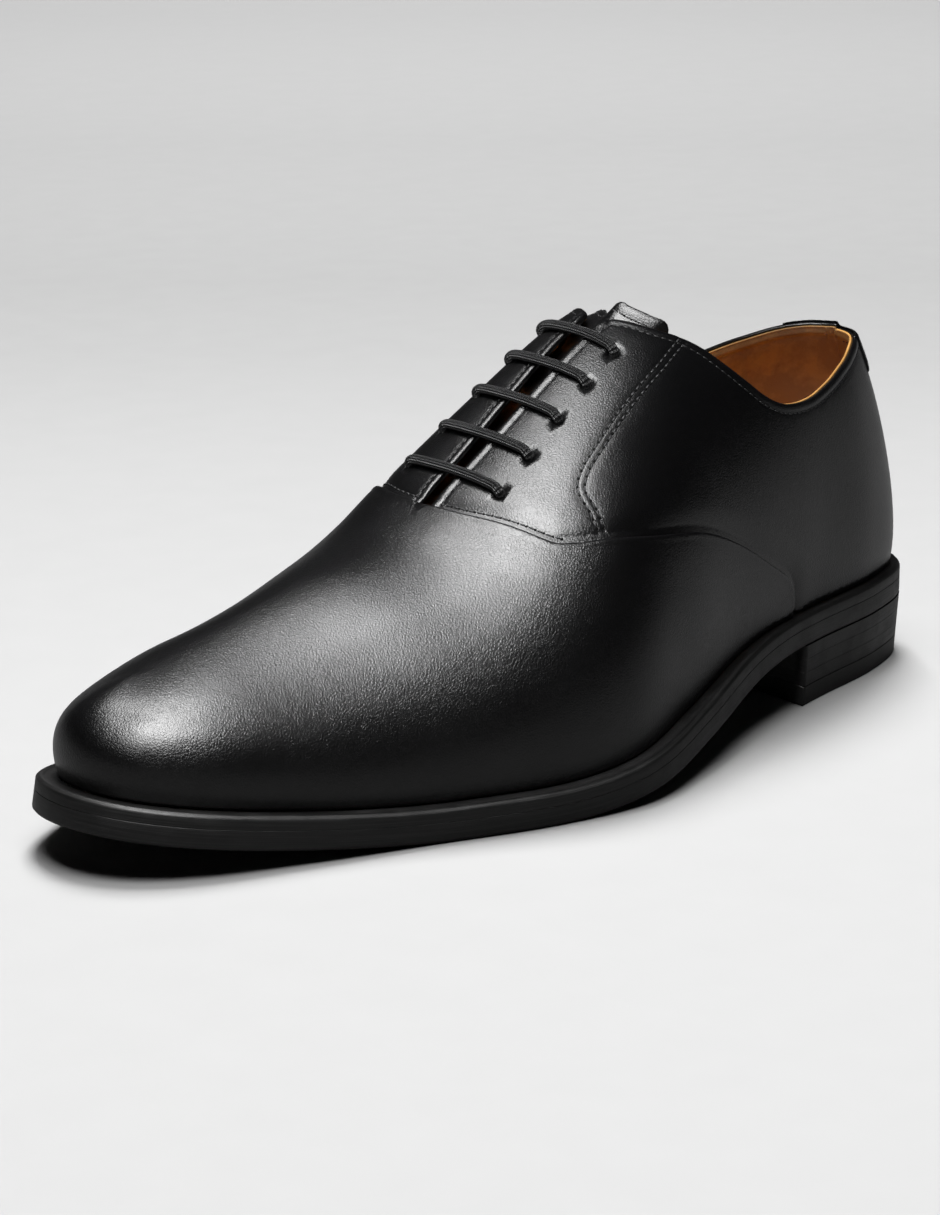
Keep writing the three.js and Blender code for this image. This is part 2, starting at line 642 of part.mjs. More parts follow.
// lace: straight bars over the facings, runs hidden under them, both ends tucked inside
class PointPath extends THREE.Curve {
  constructor(points) {
    super();
    this.points = points;
  }

  getPoint(t, target = new THREE.Vector3()) {
    const at = t * (this.points.length - 1);
    const i = Math.min(Math.floor(at), this.points.length - 2);
    return target.copy(this.points[i]).lerp(this.points[i + 1], at - i);
  }

  getPointAt(t, target) {
    return this.getPoint(t, target);
  }

  getTangentAt(t, target = new THREE.Vector3()) {
    const step = 0.5 / (this.points.length - 1);
    const ahead = this.getPoint(Math.min(1, t + step));
    return target.copy(ahead.sub(this.getPoint(Math.max(0, t - step)))).normalize();
  }
}
const laceOver = laceRadius + 0.6;
const under = -laceDepth;
const other = { lateral: 'medial', medial: 'lateral' };
function dip(row, side) {
  const x = eyelets[row];
  return [
    onUpper(x, eyeletLevel - 0.2, side, laceOver), onUpper(x, eyeletLevel, side, laceOver - 1),
    onUpper(x, eyeletLevel, side, -leather), onUpper(x, eyeletLevel, side, under + 0.2),
  ].map((place) => place.point);
}
function tuck(row, side, levels) {
  return levels.map(([shift, level, deeper]) =>
    onUpper(eyelets[row] + shift, level, side, under - deeper).point);
}
const lacePoints = [];
let side = 'medial';
// places along the tucked ends: shift from the eyelet, level, extra depth
const bottomTuck = [[-40, 3.8, 0.2], [-28, 3.8, 0.2], [-16, 3.7, 0.2], [-8, 3.4, 0.1], [-3, 2.9, 0]];
const topTuck = [[3, 2.9, 0], [8, 3.4, 0.3], [16, 3.7, 0.6], [28, 3.8, 0.6], [40, 3.8, 0.4]];
const agletRun = [2, 14];
lacePoints.push(...tuck(0, side, bottomTuck));
for (let row = 0; row < eyeletPairs; row += 1) {
  lacePoints.push(...dip(row, side).reverse());
  const over = (level, which) => onUpper(eyelets[row], level, which, laceOver).point;
  lacePoints.push(over(2, side), over(1, side), over(0, side), over(1, other[side]), over(2, other[side]));
  side = other[side];
  lacePoints.push(...dip(row, side));
  if (row + 1 < eyeletPairs) {
    const middle = (eyelets[row] + eyelets[row + 1]) / 2;
    lacePoints.push(onUpper(middle, eyeletLevel, side, under).point);
  }
}
lacePoints.push(...tuck(eyeletPairs - 1, side, topTuck));
function tube(points, radius, sidesCount = 8) {
  const section = new THREE.Shape();
  for (let i = 0; i < sidesCount; i += 1) {
    const angle = (2 * Math.PI * i) / sidesCount;
    const corner = [radius * Math.cos(angle), radius * Math.sin(angle)];
    if (i === 0) section.moveTo(...corner);
    else section.lineTo(...corner);
  }
  const options = { steps: points.length - 1, extrudePath: new PointPath(points), bevelEnabled: false };
  return geometryOf(solidFrom(new THREE.ExtrudeGeometry(section, options)));
}
add('lace', tube(lacePoints, laceRadius), blackCord);
const agletAt = (row, which, [shift, level, deeper], way) =>
  tube(agletRun.flatMap((run) => tuck(row, which, [[shift + way * run, level, deeper]])), agletRadius);
add('aglet_1', agletAt(0, 'medial', bottomTuck[0], -1), steel);
add('aglet_2', agletAt(eyeletPairs - 1, side, topTuck.at(-1), 1), steel);

// the box of the whole shoe stands on the origin, centred
const box = new THREE.Box3().setFromObject(shoe);
const centre = box.getCenter(new THREE.Vector3());
shoe.position.set(-centre.x, -centre.y, -box.min.z);

export default shoe;
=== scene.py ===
import math

import bpy
import numpy as np
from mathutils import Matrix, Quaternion, Vector
from mathutils.geometry import delaunay_2d_cdt


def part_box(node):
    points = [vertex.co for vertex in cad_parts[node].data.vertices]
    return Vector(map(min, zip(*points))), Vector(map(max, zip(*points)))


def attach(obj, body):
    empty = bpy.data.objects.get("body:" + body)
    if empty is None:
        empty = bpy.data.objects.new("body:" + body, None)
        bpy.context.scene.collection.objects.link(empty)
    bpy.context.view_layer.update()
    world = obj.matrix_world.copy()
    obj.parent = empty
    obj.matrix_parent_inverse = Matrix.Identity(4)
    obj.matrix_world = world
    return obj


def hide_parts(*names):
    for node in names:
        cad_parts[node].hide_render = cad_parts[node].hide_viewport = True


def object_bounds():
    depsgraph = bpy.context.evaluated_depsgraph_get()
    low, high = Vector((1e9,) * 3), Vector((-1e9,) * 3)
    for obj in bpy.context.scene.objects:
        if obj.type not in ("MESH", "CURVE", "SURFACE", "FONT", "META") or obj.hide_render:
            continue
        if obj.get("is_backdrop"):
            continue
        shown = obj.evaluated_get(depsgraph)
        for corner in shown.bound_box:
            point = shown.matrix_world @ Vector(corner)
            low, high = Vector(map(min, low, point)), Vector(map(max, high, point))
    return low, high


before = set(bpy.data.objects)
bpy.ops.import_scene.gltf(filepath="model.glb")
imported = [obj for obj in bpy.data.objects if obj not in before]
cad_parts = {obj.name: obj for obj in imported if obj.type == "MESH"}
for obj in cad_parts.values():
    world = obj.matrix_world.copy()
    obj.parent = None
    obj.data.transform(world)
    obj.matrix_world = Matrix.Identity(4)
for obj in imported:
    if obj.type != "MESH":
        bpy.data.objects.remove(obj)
cad_low, cad_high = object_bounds()

# ---------------------------------------------------------------- the last
# The wooden form that the shoe is pulled over. Every piece of the upper is laid off its
# surface, so the leathers, linings and tongue nest in each other. Millimetres, with x from
# the back of the heel, y to the outer side and z from the ground.
shoe_length = (cad_high.x - cad_low.x) * 1000
sole_width = 113.0
heel_height = 18.3
toe_spring = 12.0
heel_breast = 70.0
sole_stack = 9.2
heel_reveal = 3.0
welt_reveal = 5.5
wall_bulge = 5.0

edge_points = [
    [0, -0.035], [0.026, 0.133], [0.098, 0.23], [0.203, 0.296], [0.311, 0.381], [0.42, 0.496],
    [0.518, 0.568], [0.623, 0.529], [0.728, 0.434], [0.833, 0.341], [0.925, 0.243], [0.98, 0.124],
    [1, -0.031], [0.982, -0.186], [0.925, -0.288], [0.833, -0.385], [0.728, -0.432],
    [0.623, -0.389], [0.518, -0.301], [0.42, -0.239], [0.311, -0.248], [0.203, -0.292],
    [0.098, -0.283], [0.026, -0.195],
]
crest_height = [
    [0.04, 116], [0.197, 118], [0.361, 118.5], [0.416, 112.5], [0.492, 97], [0.564, 81.5],
    [0.639, 68.2], [0.721, 61.3], [0.803, 53.8], [0.898, 45.7],
]
crest_side = [[0, -0.027], [0.36, 0], [0.62, 0], [0.8, -0.044], [0.9, -0.056]]
crest_reach = [
    [0, 0.105], [0.12, 0.152], [0.35, 0.351], [0.6, 0.582], [0.8, 0.812], [0.92, 0.861], [1, 0.9],
]
shape_stops = [0, 0.072, 0.197, 0.361, 0.492, 0.623, 0.754, 0.885, 0.984]
wall_rise = {
    1: [0.15, 0.3, 0.73, 0.59, 0.57, 0.57, 0.51, 0.56, 0.68],
    -1: [0.15, 0.3, 0.77, 0.96, 0.97, 0.84, 0.44, 0.6, 0.68],
}
crown_width = {
    1: [0.47, 0.68, 0.75, 0.57, 0.59, 0.59, 0.51, 0.58, 0.68],
    -1: [0.47, 0.68, 0.77, 0.9, 0.95, 0.77, 0.45, 0.57, 0.68],
}


def through(points):
    """Smooth curve y(x) through points in order of x."""
    points = np.array(points, float)
    count = len(points)
    before = np.maximum(np.arange(count) - 1, 0)
    after = np.minimum(np.arange(count) + 1, count - 1)
    slope = (points[after, 1] - points[before, 1]) / (points[after, 0] - points[before, 0])

    def value(x):
        x = np.asarray(x, float)
        i = np.clip(np.searchsorted(points[:, 0], x, side="left") - 1, 0, count - 2)
        span = points[i + 1, 0] - points[i, 0]
        t = np.clip((x - points[i, 0]) / span, 0, 1)
        a, b = points[i, 1], points[i + 1, 1]
        rise, fall = slope[i] * span, slope[i + 1] * span
        return a + rise * t + (3 * (b - a) - 2 * rise - fall) * t**2 + (2 * (a - b) + rise + fall) * t**3

    return value


def ease(value):
    value = np.clip(value, 0, 1)
    return value * value * (3 - 2 * value)


def ground(x):
    """Underside of the sole: level heel seat, waist, flat tread, toe spring."""
    tread_start, tread_end = 0.623 * shoe_length, 0.708 * shoe_length
    waist = heel_height * (1 - ease((x - heel_breast) / (tread_start - heel_breast)))
    spring = np.maximum(0, (x - tread_end) / (shoe_length - tread_end))
    return waist + toe_spring * spring**1.5


def above(x, y, distance):
    """Point of the sole stack at a distance square to the underside."""
    angle = np.arctan(ground(x + 0.5) - ground(x - 0.5))
    return np.stack([x - distance * np.sin(angle), y + 0 * x, ground(x) + distance * np.cos(angle)], -1)


def closed_curve(points, count):
    points = np.array(points, float)
    t = np.linspace(0, len(points), count, endpoint=False)
    i = np.floor(t).astype(int)
    w = (t - i)[:, None]
    p0, p1, p2, p3 = (points[(i + k) % len(points)] for k in (-1, 0, 1, 2))
    a, b = 0.5 * (p2 - p0), 0.5 * (p3 - p1)
    return p1 + a * w + (-3 * p1 + 3 * p2 - 2 * a - b) * w**2 + (2 * p1 - 2 * p2 + a + b) * w**3


edge_loop = closed_curve([(x * shoe_length, y * sole_width) for x, y in edge_points], 4800)


def sides(inset):
    """The sole edge moved inwards: its ends and its two sides y(x)."""
    along = np.roll(edge_loop, -1, 0) - np.roll(edge_loop, 1, 0)
    along /= np.linalg.norm(along, axis=1)[:, None]
    distance = inset(edge_loop[:, 0]) if callable(inset) else inset
    moved = edge_loop + np.stack([along[:, 1] * distance, -along[:, 0] * distance], 1)
    moved = np.roll(moved, -moved[:, 0].argmin(), 0)
    tip = moved[:, 0].argmax()
    outer, inner = moved[: tip + 1], np.vstack([moved[tip:], moved[:1]])
    outer = outer[outer[:, 0].argsort(kind="stable")]
    inner = inner[inner[:, 0].argsort(kind="stable")]
    return (moved[0, 0], moved[tip, 0],
            lambda x: np.interp(x, outer[:, 0], outer[:, 1]),
            lambda x: np.interp(x, inner[:, 0], inner[:, 1]))


def reveal(x):
    return heel_reveal + (welt_reveal - heel_reveal) * ease((x - 60) / 90)


across_columns = 300
down_rows = 80


def ribs():
    """Ribs of the last from crest to welt on both sides, as one chart of points."""
    start, end, outer, inner = sides(reveal)
    x = start + (end - start) * (1 - np.cos(np.pi * np.linspace(0, 1, across_columns + 1))) / 2
    share, station = (x - start) / (end - start), x / shoe_length
    top = through(crest_reach)(share)
    height = through(crest_height)
    crest = np.stack([top * shoe_length, through(crest_side)(top) * sole_width, height(top)], -1)
    fall = (height(top + 0.004) - height(top - 0.004)) / (0.008 * shoe_length)
    chart = np.zeros((across_columns + 1, 2 * down_rows + 1, 3))
    for side, edge in ((1, outer), (-1, inner)):
        foot = above(x, edge(x), sole_stack + 0.3)
        across = crest - foot
        across[:, 2] = 0
        inward = across / np.linalg.norm(across, axis=1)[:, None]
        lower = foot - inward * wall_bulge
        lower[:, 2] += through(list(zip(shape_stops, wall_rise[side])))(station) * (crest - foot)[:, 2]
        flat = through(list(zip(shape_stops, crown_width[side])))(station)[:, None]
        upper = crest - across * flat
        upper[:, 2] -= fall * across[:, 0] * flat[:, 0]
        t = np.linspace(0, 1, 161)[None, :, None]
        curve = (crest[:, None] * (1 - t)**3 + 3 * upper[:, None] * t * (1 - t)**2
                 + 3 * lower[:, None] * t * t * (1 - t) + foot[:, None] * t**3)
        for i, rib in enumerate(curve):
            run = np.concatenate([[0], np.cumsum(np.linalg.norm(np.diff(rib, axis=0), axis=1))])
            even = np.linspace(0, run[-1], down_rows + 1)
            rows = down_rows + side * np.arange(down_rows + 1)
            for axis in range(3):
                chart[i, rows, axis] = np.interp(even, run, rib[:, axis])
    return chart


def ghosts(chart):
    """Columns past either end, which are the other side's columns turned over."""
    return np.concatenate([chart[3:0:-1, ::-1], chart, chart[-2:-5:-1, ::-1]])


def relaxed(chart, passes):
    """Takes the faint ridges out of the crest and the toe, leaving the welt line."""
    for _ in range(passes):
        wide = ghosts(chart)
        soft = chart.copy()
        soft[:, 1:-1] = (chart[:, 1:-1] + 0.5 * (chart[:, 2:] + chart[:, :-2])) / 2
        soft = (soft + 0.5 * (wide[4:-2] + wide[2:-4])) / 2
        soft[:, [0, -1]] = chart[:, [0, -1]]
        chart = soft
    return chart


last_chart = relaxed(ribs(), 14)
run_on = 4
low_row, high_row = last_chart[:, :1], last_chart[:, -1:]
low_rows = [low_row + (low_row - last_chart[:, 1:2]) * k for k in range(run_on, 0, -1)]
high_rows = [high_row + (high_row - last_chart[:, -2:-1]) * k for k in range(1, run_on + 1)]
padded_chart = ghosts(np.concatenate([*low_rows, last_chart, *high_rows], axis=1))


def on_chart(places):
    """Points of the last at chart places (column, row); the crest is row 0, the welt is +-80."""
    u, q = np.array(places, float).reshape(-1, 2).T
    q = np.where(u < 0, -q, q)
    u = np.abs(u)
    q = np.where(u > across_columns, -q, q)
    u = np.where(u > across_columns, 2 * across_columns - u, u)
    u = np.clip(u, 0, across_columns) + 3
    q = np.clip(q, -down_rows - run_on + 1.01, down_rows + run_on - 1.01) + down_rows + run_on
    iu = np.clip(np.floor(u).astype(int), 1, padded_chart.shape[0] - 3)
    iq = np.clip(np.floor(q).astype(int), 1, padded_chart.shape[1] - 3)

    def weights(t):
        return [(-t + 2 * t**2 - t**3) / 2, (2 - 5 * t**2 + 3 * t**3) / 2,
                (t + 4 * t**2 - 3 * t**3) / 2, (t**3 - t**2) / 2]

    wu, wq = weights(u - iu), weights(q - iq)
    out = np.zeros((len(u), 3))
    for a in range(4):
        for b in range(4):
            out += (wu[a] * wq[b])[:, None] * padded_chart[iu + a - 1, iq + b - 1]
    return out


def unit(vectors):
    return vectors / np.maximum(np.linalg.norm(vectors, axis=-1, keepdims=True), 1e-12)


def slopes(places):
    """Steps of the last along the chart's two directions, and its outward normal."""
    places = np.array(places, float).reshape(-1, 2)
    held = places.copy()
    held[:, 0] = np.clip(np.abs(held[:, 0]), 0.6, across_columns - 0.6)
    held[:, 1] = np.where(places[:, 0] < 0, -places[:, 1], places[:, 1])
    along = (on_chart(held + [0.4, 0]) - on_chart(held - [0.4, 0])) / 0.8
    down = (on_chart(held + [0, 0.4]) - on_chart(held - [0, 0.4])) / 0.8
    normal = unit(np.cross(along, down))
    turned = np.where(places[:, :1] < 0, -1.0, 1.0)
    return along * turned, down * turned, normal


def chart_of(points, side):
    """Chart places of the points of one side of the last nearest to given points."""
    points = np.array(points, float)
    u = np.arange(0, across_columns + 1, 3)
    q = np.arange(0, down_rows + 1, 2) * side
    grid = np.stack(np.meshgrid(u, q, indexing="ij"), -1).reshape(-1, 2).astype(float)
    known = on_chart(grid)
    places = np.array([grid[np.linalg.norm(known - p, axis=1).argmin()] for p in points])
    for _ in range(8):
        along, down, _n = slopes(places)
        miss = points - on_chart(places)
        aa, dd, ad = (along**2).sum(1), (down**2).sum(1), (along * down).sum(1)
        am, dm = (along * miss).sum(1), (down * miss).sum(1)
        det = aa * dd - ad**2
        step = np.stack([(am * dd - dm * ad) / det, (dm * aa - am * ad) / det], 1)
        places = places + np.clip(step, -4, 4) * 0.8
        places[:, 0] = np.clip(places[:, 0], 0.01, across_columns - 0.01)
    return places


def moved_by(places, vectors):
    """Chart places reached by short moves along the surface."""
    along, down, _n = slopes(places)
    aa, dd, ad = (along**2).sum(1), (down**2).sum(1), (along * down).sum(1)
    am, dm = (along * vectors).sum(1), (down * vectors).sum(1)
    det = aa * dd - ad**2
    return places + np.stack([(am * dd - dm * ad) / det, (dm * aa - am * ad) / det], 1)


def smooth_line(points, count=400):
    """Smooth open curve through points, closely sampled."""
    points = np.array(points, float)
    ends = np.vstack([2 * points[0] - points[1], points, 2 * points[-1] - points[-2]])
    t = np.linspace(0, len(points) - 1 - 1e-9, count)
    i = np.floor(t).astype(int)
    w = (t - i)[:, None]
    p0, p1, p2, p3 = (ends[i + k] for k in range(4))
    a, b = 0.5 * (p2 - p0), 0.5 * (p3 - p1)
    return p1 + a * w + (-3 * p1 + 3 * p2 - 2 * a - b) * w**2 + (2 * p1 - 2 * p2 + a + b) * w**3


def spaced(places, step):
    """A chart line resampled at an even spacing in millimetres."""
    run = np.concatenate([[0], np.cumsum(np.linalg.norm(np.diff(on_chart(places), axis=0), axis=1))])
    count = max(2, int(round(run[-1] / step)) + 1)
    even = np.linspace(0, run[-1], count)
    return np.stack([np.interp(even, run, places[:, 0]), np.interp(even, run, places[:, 1])], 1)


def beside(places, distance):
    """A chart line moved sideways over the surface, to the right of its direction."""
    points = on_chart(places)
    along = unit(np.gradient(points, axis=0))
    normal = slopes(places)[2]
    return moved_by(places, np.cross(along, normal) * distance)


def distance_to(points, line):
    """Shortest distance from each point to a line of points."""
    best = np.full(len(points), 1e9)
    for a, b in zip(line[:-1], line[1:]):
        edge = b - a
        t = np.clip(((points - a) @ edge) / max(edge @ edge, 1e-12), 0, 1)
        best = np.minimum(best, ((points - a - t[:, None] * edge)**2).sum(1))
    return np.sqrt(best)


# world place of a last point: the CAD outsole's own box says where the last stands
outsole_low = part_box("outsole")[0]
last_shift = np.array([outsole_low.x * 1000, outsole_low.y * 1000 - edge_loop[:, 1].min(), 0])


def to_world(points):
    return (np.asarray(points) + last_shift) / 1000


def mesh_piece(name, points, faces, material, uvs=None):
    """A smooth-shaded mesh object from last points in millimetres."""
    mesh = bpy.data.meshes.new(name)
    mesh.from_pydata([tuple(p) for p in to_world(points)], [], faces)
    mesh.materials.append(material)
    mesh.polygons.foreach_set("use_smooth", [True] * len(mesh.polygons))
    if uvs is not None:
        layer = mesh.uv_layers.new(name="UVMap")
        loops = np.zeros(len(mesh.loops), int)
        mesh.loops.foreach_get("vertex_index", loops)
        layer.data.foreach_set("uv", np.asarray(uvs, float)[loops].ravel())
    mesh.update()
    piece = bpy.data.objects.new(name, mesh)
    bpy.context.scene.collection.objects.link(piece)
    return piece


# ---------------------------------------------------------------- surface effects
# Effects that several finishes share: the fine pebble of calf, and hairline scratches and
# streaks. Each is a group that hands out masks and heights only.
def group(name, inputs, outputs):
    tree = bpy.data.node_groups.new(name, "ShaderNodeTree")
    for label, kind, value in inputs:
        socket = tree.interface.new_socket(name=label, in_out="INPUT", socket_type=kind)
        if value is not None:
            socket.default_value = value
    for label, kind in outputs:
        tree.interface.new_socket(name=label, in_out="OUTPUT", socket_type=kind)
    return tree, tree.nodes.new("NodeGroupInput"), tree.nodes.new("NodeGroupOutput")


def node(tree, kind, links=None, **values):
    """A node with its properties, its input values and its incoming links."""
    made = tree.nodes.new(kind)
    for key, value in values.items():
        if hasattr(made, key):
            setattr(made, key, value)
    for key, value in (links or {}).items():
        socket = made.inputs[key]
        if isinstance(value, bpy.types.NodeSocket):
            tree.links.new(value, socket)
        else:
            socket.default_value = value
    return made


def maths(tree, operation, a, b=0.0, clamp=False):
    made = tree.nodes.new("ShaderNodeMath")
    made.operation, made.use_clamp = operation, clamp
    for socket, value in zip(made.inputs, (a, b)):
        if isinstance(value, bpy.types.NodeSocket):
            tree.links.new(value, socket)
        else:
            socket.default_value = value
    return made.outputs[0]


F, V = "NodeSocketFloat", "NodeSocketVector"

# calf grain: pebbles between fine creases, stretched a little and stronger in patches
grain, gin, gout = group("leather_grain", [
    ("Position", V, None), ("Pebble size mm", F, 0.9), ("Crease depth", F, 1.0), ("Patchiness", F, 0.5),
], [("Height", F), ("Patch", F)])
to_mm = (1000, 1000, 1000)
in_mm = node(grain, "ShaderNodeVectorMath", {0: gin.outputs["Position"], 1: to_mm}, operation="MULTIPLY")
size = maths(grain, "DIVIDE", 1.0, gin.outputs["Pebble size mm"])
warp = node(grain, "ShaderNodeTexNoise", {"Vector": in_mm.outputs[0], "Scale": 0.35, "Detail": 2.0})
bent = node(grain, "ShaderNodeVectorMath", {0: in_mm.outputs[0], 1: warp.outputs["Color"]}, operation="ADD")
cells = node(grain, "ShaderNodeTexVoronoi", {"Vector": bent.outputs[0], "Scale": size},
             feature="DISTANCE_TO_EDGE")
crease = maths(grain, "MINIMUM", maths(grain, "MULTIPLY", cells.outputs["Distance"], 3.5), 1.0)
fine_scale = maths(grain, "MULTIPLY", size, 1.7)
fine = node(grain, "ShaderNodeTexNoise", {"Vector": bent.outputs[0], "Scale": fine_scale, "Detail": 3.0})
broad = node(grain, "ShaderNodeTexNoise", {"Vector": in_mm.outputs[0], "Scale": 0.045, "Detail": 3.0})
patch = maths(grain, "MULTIPLY", maths(grain, "SUBTRACT", broad.outputs["Fac"], 0.35, True), 2.6, True)
strength = maths(grain, "SUBTRACT", 1.0, maths(grain, "MULTIPLY", gin.outputs["Patchiness"], patch))
mixed = maths(grain, "ADD", maths(grain, "MULTIPLY", crease, 0.5), fine.outputs["Fac"])
tall = maths(grain, "MULTIPLY", maths(grain, "MULTIPLY", mixed, strength), gin.outputs["Crease depth"])
grain.links.new(tall, gout.inputs["Height"])
grain.links.new(patch, gout.inputs["Patch"])

# hairlines: sparse scratches on polished faces, or streaks when stretched
hairs, hin, hout = group("hairlines", [
    ("Position", V, None), ("Stretch", V, (1.0, 1.0, 1.0)), ("Scale", F, 0.5), ("Sparseness", F, 0.62),
], [("Mask", F)])
drawn_out = node(hairs, "ShaderNodeVectorMath", {0: hin.outputs["Position"], 1: hin.outputs["Stretch"]},
                 operation="MULTIPLY")
drawn_mm = node(hairs, "ShaderNodeVectorMath", {0: drawn_out.outputs[0], 1: to_mm}, operation="MULTIPLY")
clouds = node(hairs, "ShaderNodeTexNoise", {
    "Vector": drawn_mm.outputs[0], "Scale": hin.outputs["Scale"], "Detail": 4.0, "Roughness": 0.65})
over = maths(hairs, "SUBTRACT", clouds.outputs["Fac"], hin.outputs["Sparseness"])
hairs.links.new(maths(hairs, "MULTIPLY", over, 6.0, True), hout.inputs["Mask"])


def finish(name, colour, roughness, specular=0.5, coat=0.0, coat_roughness=0.2, metallic=0.0):
    """A material with its Principled shader, and the Object coordinates that patterns read."""
    material = bpy.data.materials.new(name)
    material.use_nodes = True
    tree = material.node_tree
    shader = tree.nodes["Principled BSDF"]
    shader.inputs["Base Color"].default_value = (*colour, 1)
    shader.inputs["Roughness"].default_value = roughness
    shader.inputs["Specular IOR Level"].default_value = specular
    shader.inputs["Coat Weight"].default_value = coat
    shader.inputs["Coat Roughness"].default_value = coat_roughness
    shader.inputs["Metallic"].default_value = metallic
    place = node(tree, "ShaderNodeTexCoord").outputs["Object"]
    return material, tree, shader, place


def use(tree, shared, values):
    made = tree.nodes.new("ShaderNodeGroup")
    made.node_tree = shared
    for key, value in values.items():
        if isinstance(value, bpy.types.NodeSocket):
            tree.links.new(value, made.inputs[key])
        else:
            made.inputs[key].default_value = value
    return made.outputs


def bump(tree, shader, height, strength, distance):
    made = node(tree, "ShaderNodeBump", {"Height": height, "Strength": strength, "Distance": distance})
    tree.links.new(made.outputs[0], shader.inputs["Normal"])


def spread(tree, value, low, high):
    """Maps 0..1 onto a range."""
    made = node(tree, "ShaderNodeMapRange", {"Value": value, "To Min": low, "To Max": high})
    return made.outputs[0]


def dye(tree, shader, mask, first, second):
    """Colours a finish with one colour where a mask is 0 and another where it is 1."""
    made = tree.nodes.new("ShaderNodeMix")
    made.data_type = "RGBA"
    tree.links.new(mask, made.inputs["Factor"])
    made.inputs["A"].default_value = (*first, 1)
    made.inputs["B"].default_value = (*second, 1)
    tree.links.new(made.outputs["Result"], shader.inputs["Base Color"])


# ---------------------------------------------------------------- outsole and welt
# A leather outsole stitched to a leather welt. The edge is trimmed, inked and ironed with
# hot wax: nearly black, with fine streaks along it and a bevelled rim on the welt.
edge_black, tree, shader, place = finish("burnished_edge", (0.006, 0.006, 0.006), 0.45, 0.3)
edge_height = node(tree, "ShaderNodeAttribute", attribute_name="edge_height").outputs["Fac"]
flat_place = node(tree, "ShaderNodeSeparateXYZ", {0: place})
edge_metres = maths(tree, "DIVIDE", edge_height, 1000.0)
along_edge = node(tree, "ShaderNodeCombineXYZ", {
    "X": flat_place.outputs["X"], "Y": flat_place.outputs["Y"], "Z": edge_metres})
streaks = use(tree, hairs, {
    "Position": along_edge.outputs[0], "Stretch": (0.03, 0.03, 5.0), "Scale": 1.0, "Sparseness": 0.45})
dust = use(tree, hairs, {"Position": place, "Scale": 0.12, "Sparseness": 0.45})
dye(tree, shader, streaks["Mask"], (0.006, 0.006, 0.006), (0.013, 0.0125, 0.0125))
rough = maths(tree, "ADD", spread(tree, streaks["Mask"], 0.4, 0.5), spread(tree, dust["Mask"], 0.0, 0.08))
tree.links.new(rough, shader.inputs["Roughness"])
bump(tree, shader, streaks["Mask"], 0.25, 0.00005)


def mark_height(piece, heights):
    """Notes each point's height on the trimmed edge, which its streaks follow."""
    noted = piece.data.attributes.new("edge_height", "FLOAT", "POINT")
    noted.data.foreach_set("value", np.array(heights, dtype=np.float32))


around = 220


def sole_ring(inset, distance):
    """One ring round the sole at an inset from its edge and a distance from its underside."""
    start, end, outer, inner = sides(inset)
    x = start + (end - start) * (1 - np.cos(np.pi * np.linspace(0, 1, around + 1))) / 2
    return np.vstack([above(x, outer(x), distance), above(x[1:-1], inner(x[1:-1]), distance)[::-1]])


def strips(rings, count, closed=False):
    """Quads between rings of equal length laid one after the other."""
    faces = []
    total = len(rings)
    for r in range(total if closed else total - 1):
        low, high = r * count, ((r + 1) % total) * count
        for i in range(count):
            j = (i + 1) % count
            faces.append((low + i, low + j, high + j, high + i))
    return faces


def sole_cap(first, offset, inset, distance, upward):
    """Fills a sole ring from side to side, following the curve of the sole."""
    start, end, outer, inner = sides(inset)
    x = start + (end - start) * (1 - np.cos(np.pi * np.linspace(0, 1, around + 1))) / 2
    lines = 12
    extra, index = [], {}
    for i in range(1, around):
        for k in range(1, lines):
            y = outer(x[i]) + (inner(x[i]) - outer(x[i])) * k / lines
            index[i, k] = offset + len(extra)
            extra.append(above(x[i:i + 1], np.array([y]), distance)[0])
    ring_size = 2 * around

    def at(i, k):
        if i in (0, around):
            return first + i
        if k == 0:
            return first + i
        if k == lines:
            return first + (ring_size - i) % ring_size
        return index[i, k]

    faces = []
    for i in range(around):
        for k in range(lines):
            quad = [at(i, k), at(i + 1, k), at(i + 1, k + 1), at(i, k + 1)]
            quad = [v for n, v in enumerate(quad) if v not in quad[:n]]
            if len(quad) > 2:
                faces.append(tuple(quad if upward else quad[::-1]))
    return extra, faces


def sole_layer(name, profile, material):
    """A layer of the sole lofted through (inset, distance) rings, closed top and bottom."""
    rings = [sole_ring(*p) for p in profile]
    points = list(np.vstack(rings))
    heights = [distance for _inset, distance in profile for _point in rings[0]]
    faces = [f[::-1] for f in strips(rings, len(rings[0]))]
    extra, cap = sole_cap(0, len(points), *profile[0], upward=True)
    points += extra
    heights += [profile[0][1]] * len(extra)
    faces += cap
    extra, cap = sole_cap((len(rings) - 1) * len(rings[0]), len(points), *profile[-1], upward=False)
    points += extra
    heights += [profile[-1][1]] * len(extra)
    faces += cap
    piece = mesh_piece(name, points, [f[::-1] for f in faces], material)
    mark_height(piece, heights)
    return piece


outsole = sole_layer("outsole_leather", [
    (3, 0), (1.2, 0.02), (0.5, 0.15), (0.12, 0.5), (0, 1.1), (0, 5.3), (0.02, 5.44), (0.08, 5.5), (1.2, 5.51),
], edge_black)
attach(outsole, "shoe")
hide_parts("outsole")

welt_profile = [
    (13.5, 5.55), (1.0, 5.55), (0.1, 5.55), (0.02, 5.6), (0, 5.75), (0, 8.1), (0.1, 8.45), (0.75, 9.1),
    (1.05, 9.2), (1.7, 9.2), (2.2, 8.95), (3.4, 8.9), (13.5, 8.9),
]
welt_rings = [sole_ring(*p) for p in welt_profile]
welt_faces = strips(welt_rings, 2 * around, closed=True)
welt = mesh_piece("welt_leather", np.vstack(welt_rings), welt_faces, edge_black)
mark_height(welt, np.repeat([distance for _inset, distance in welt_profile], 2 * around))
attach(welt, "shoe")
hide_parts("welt")

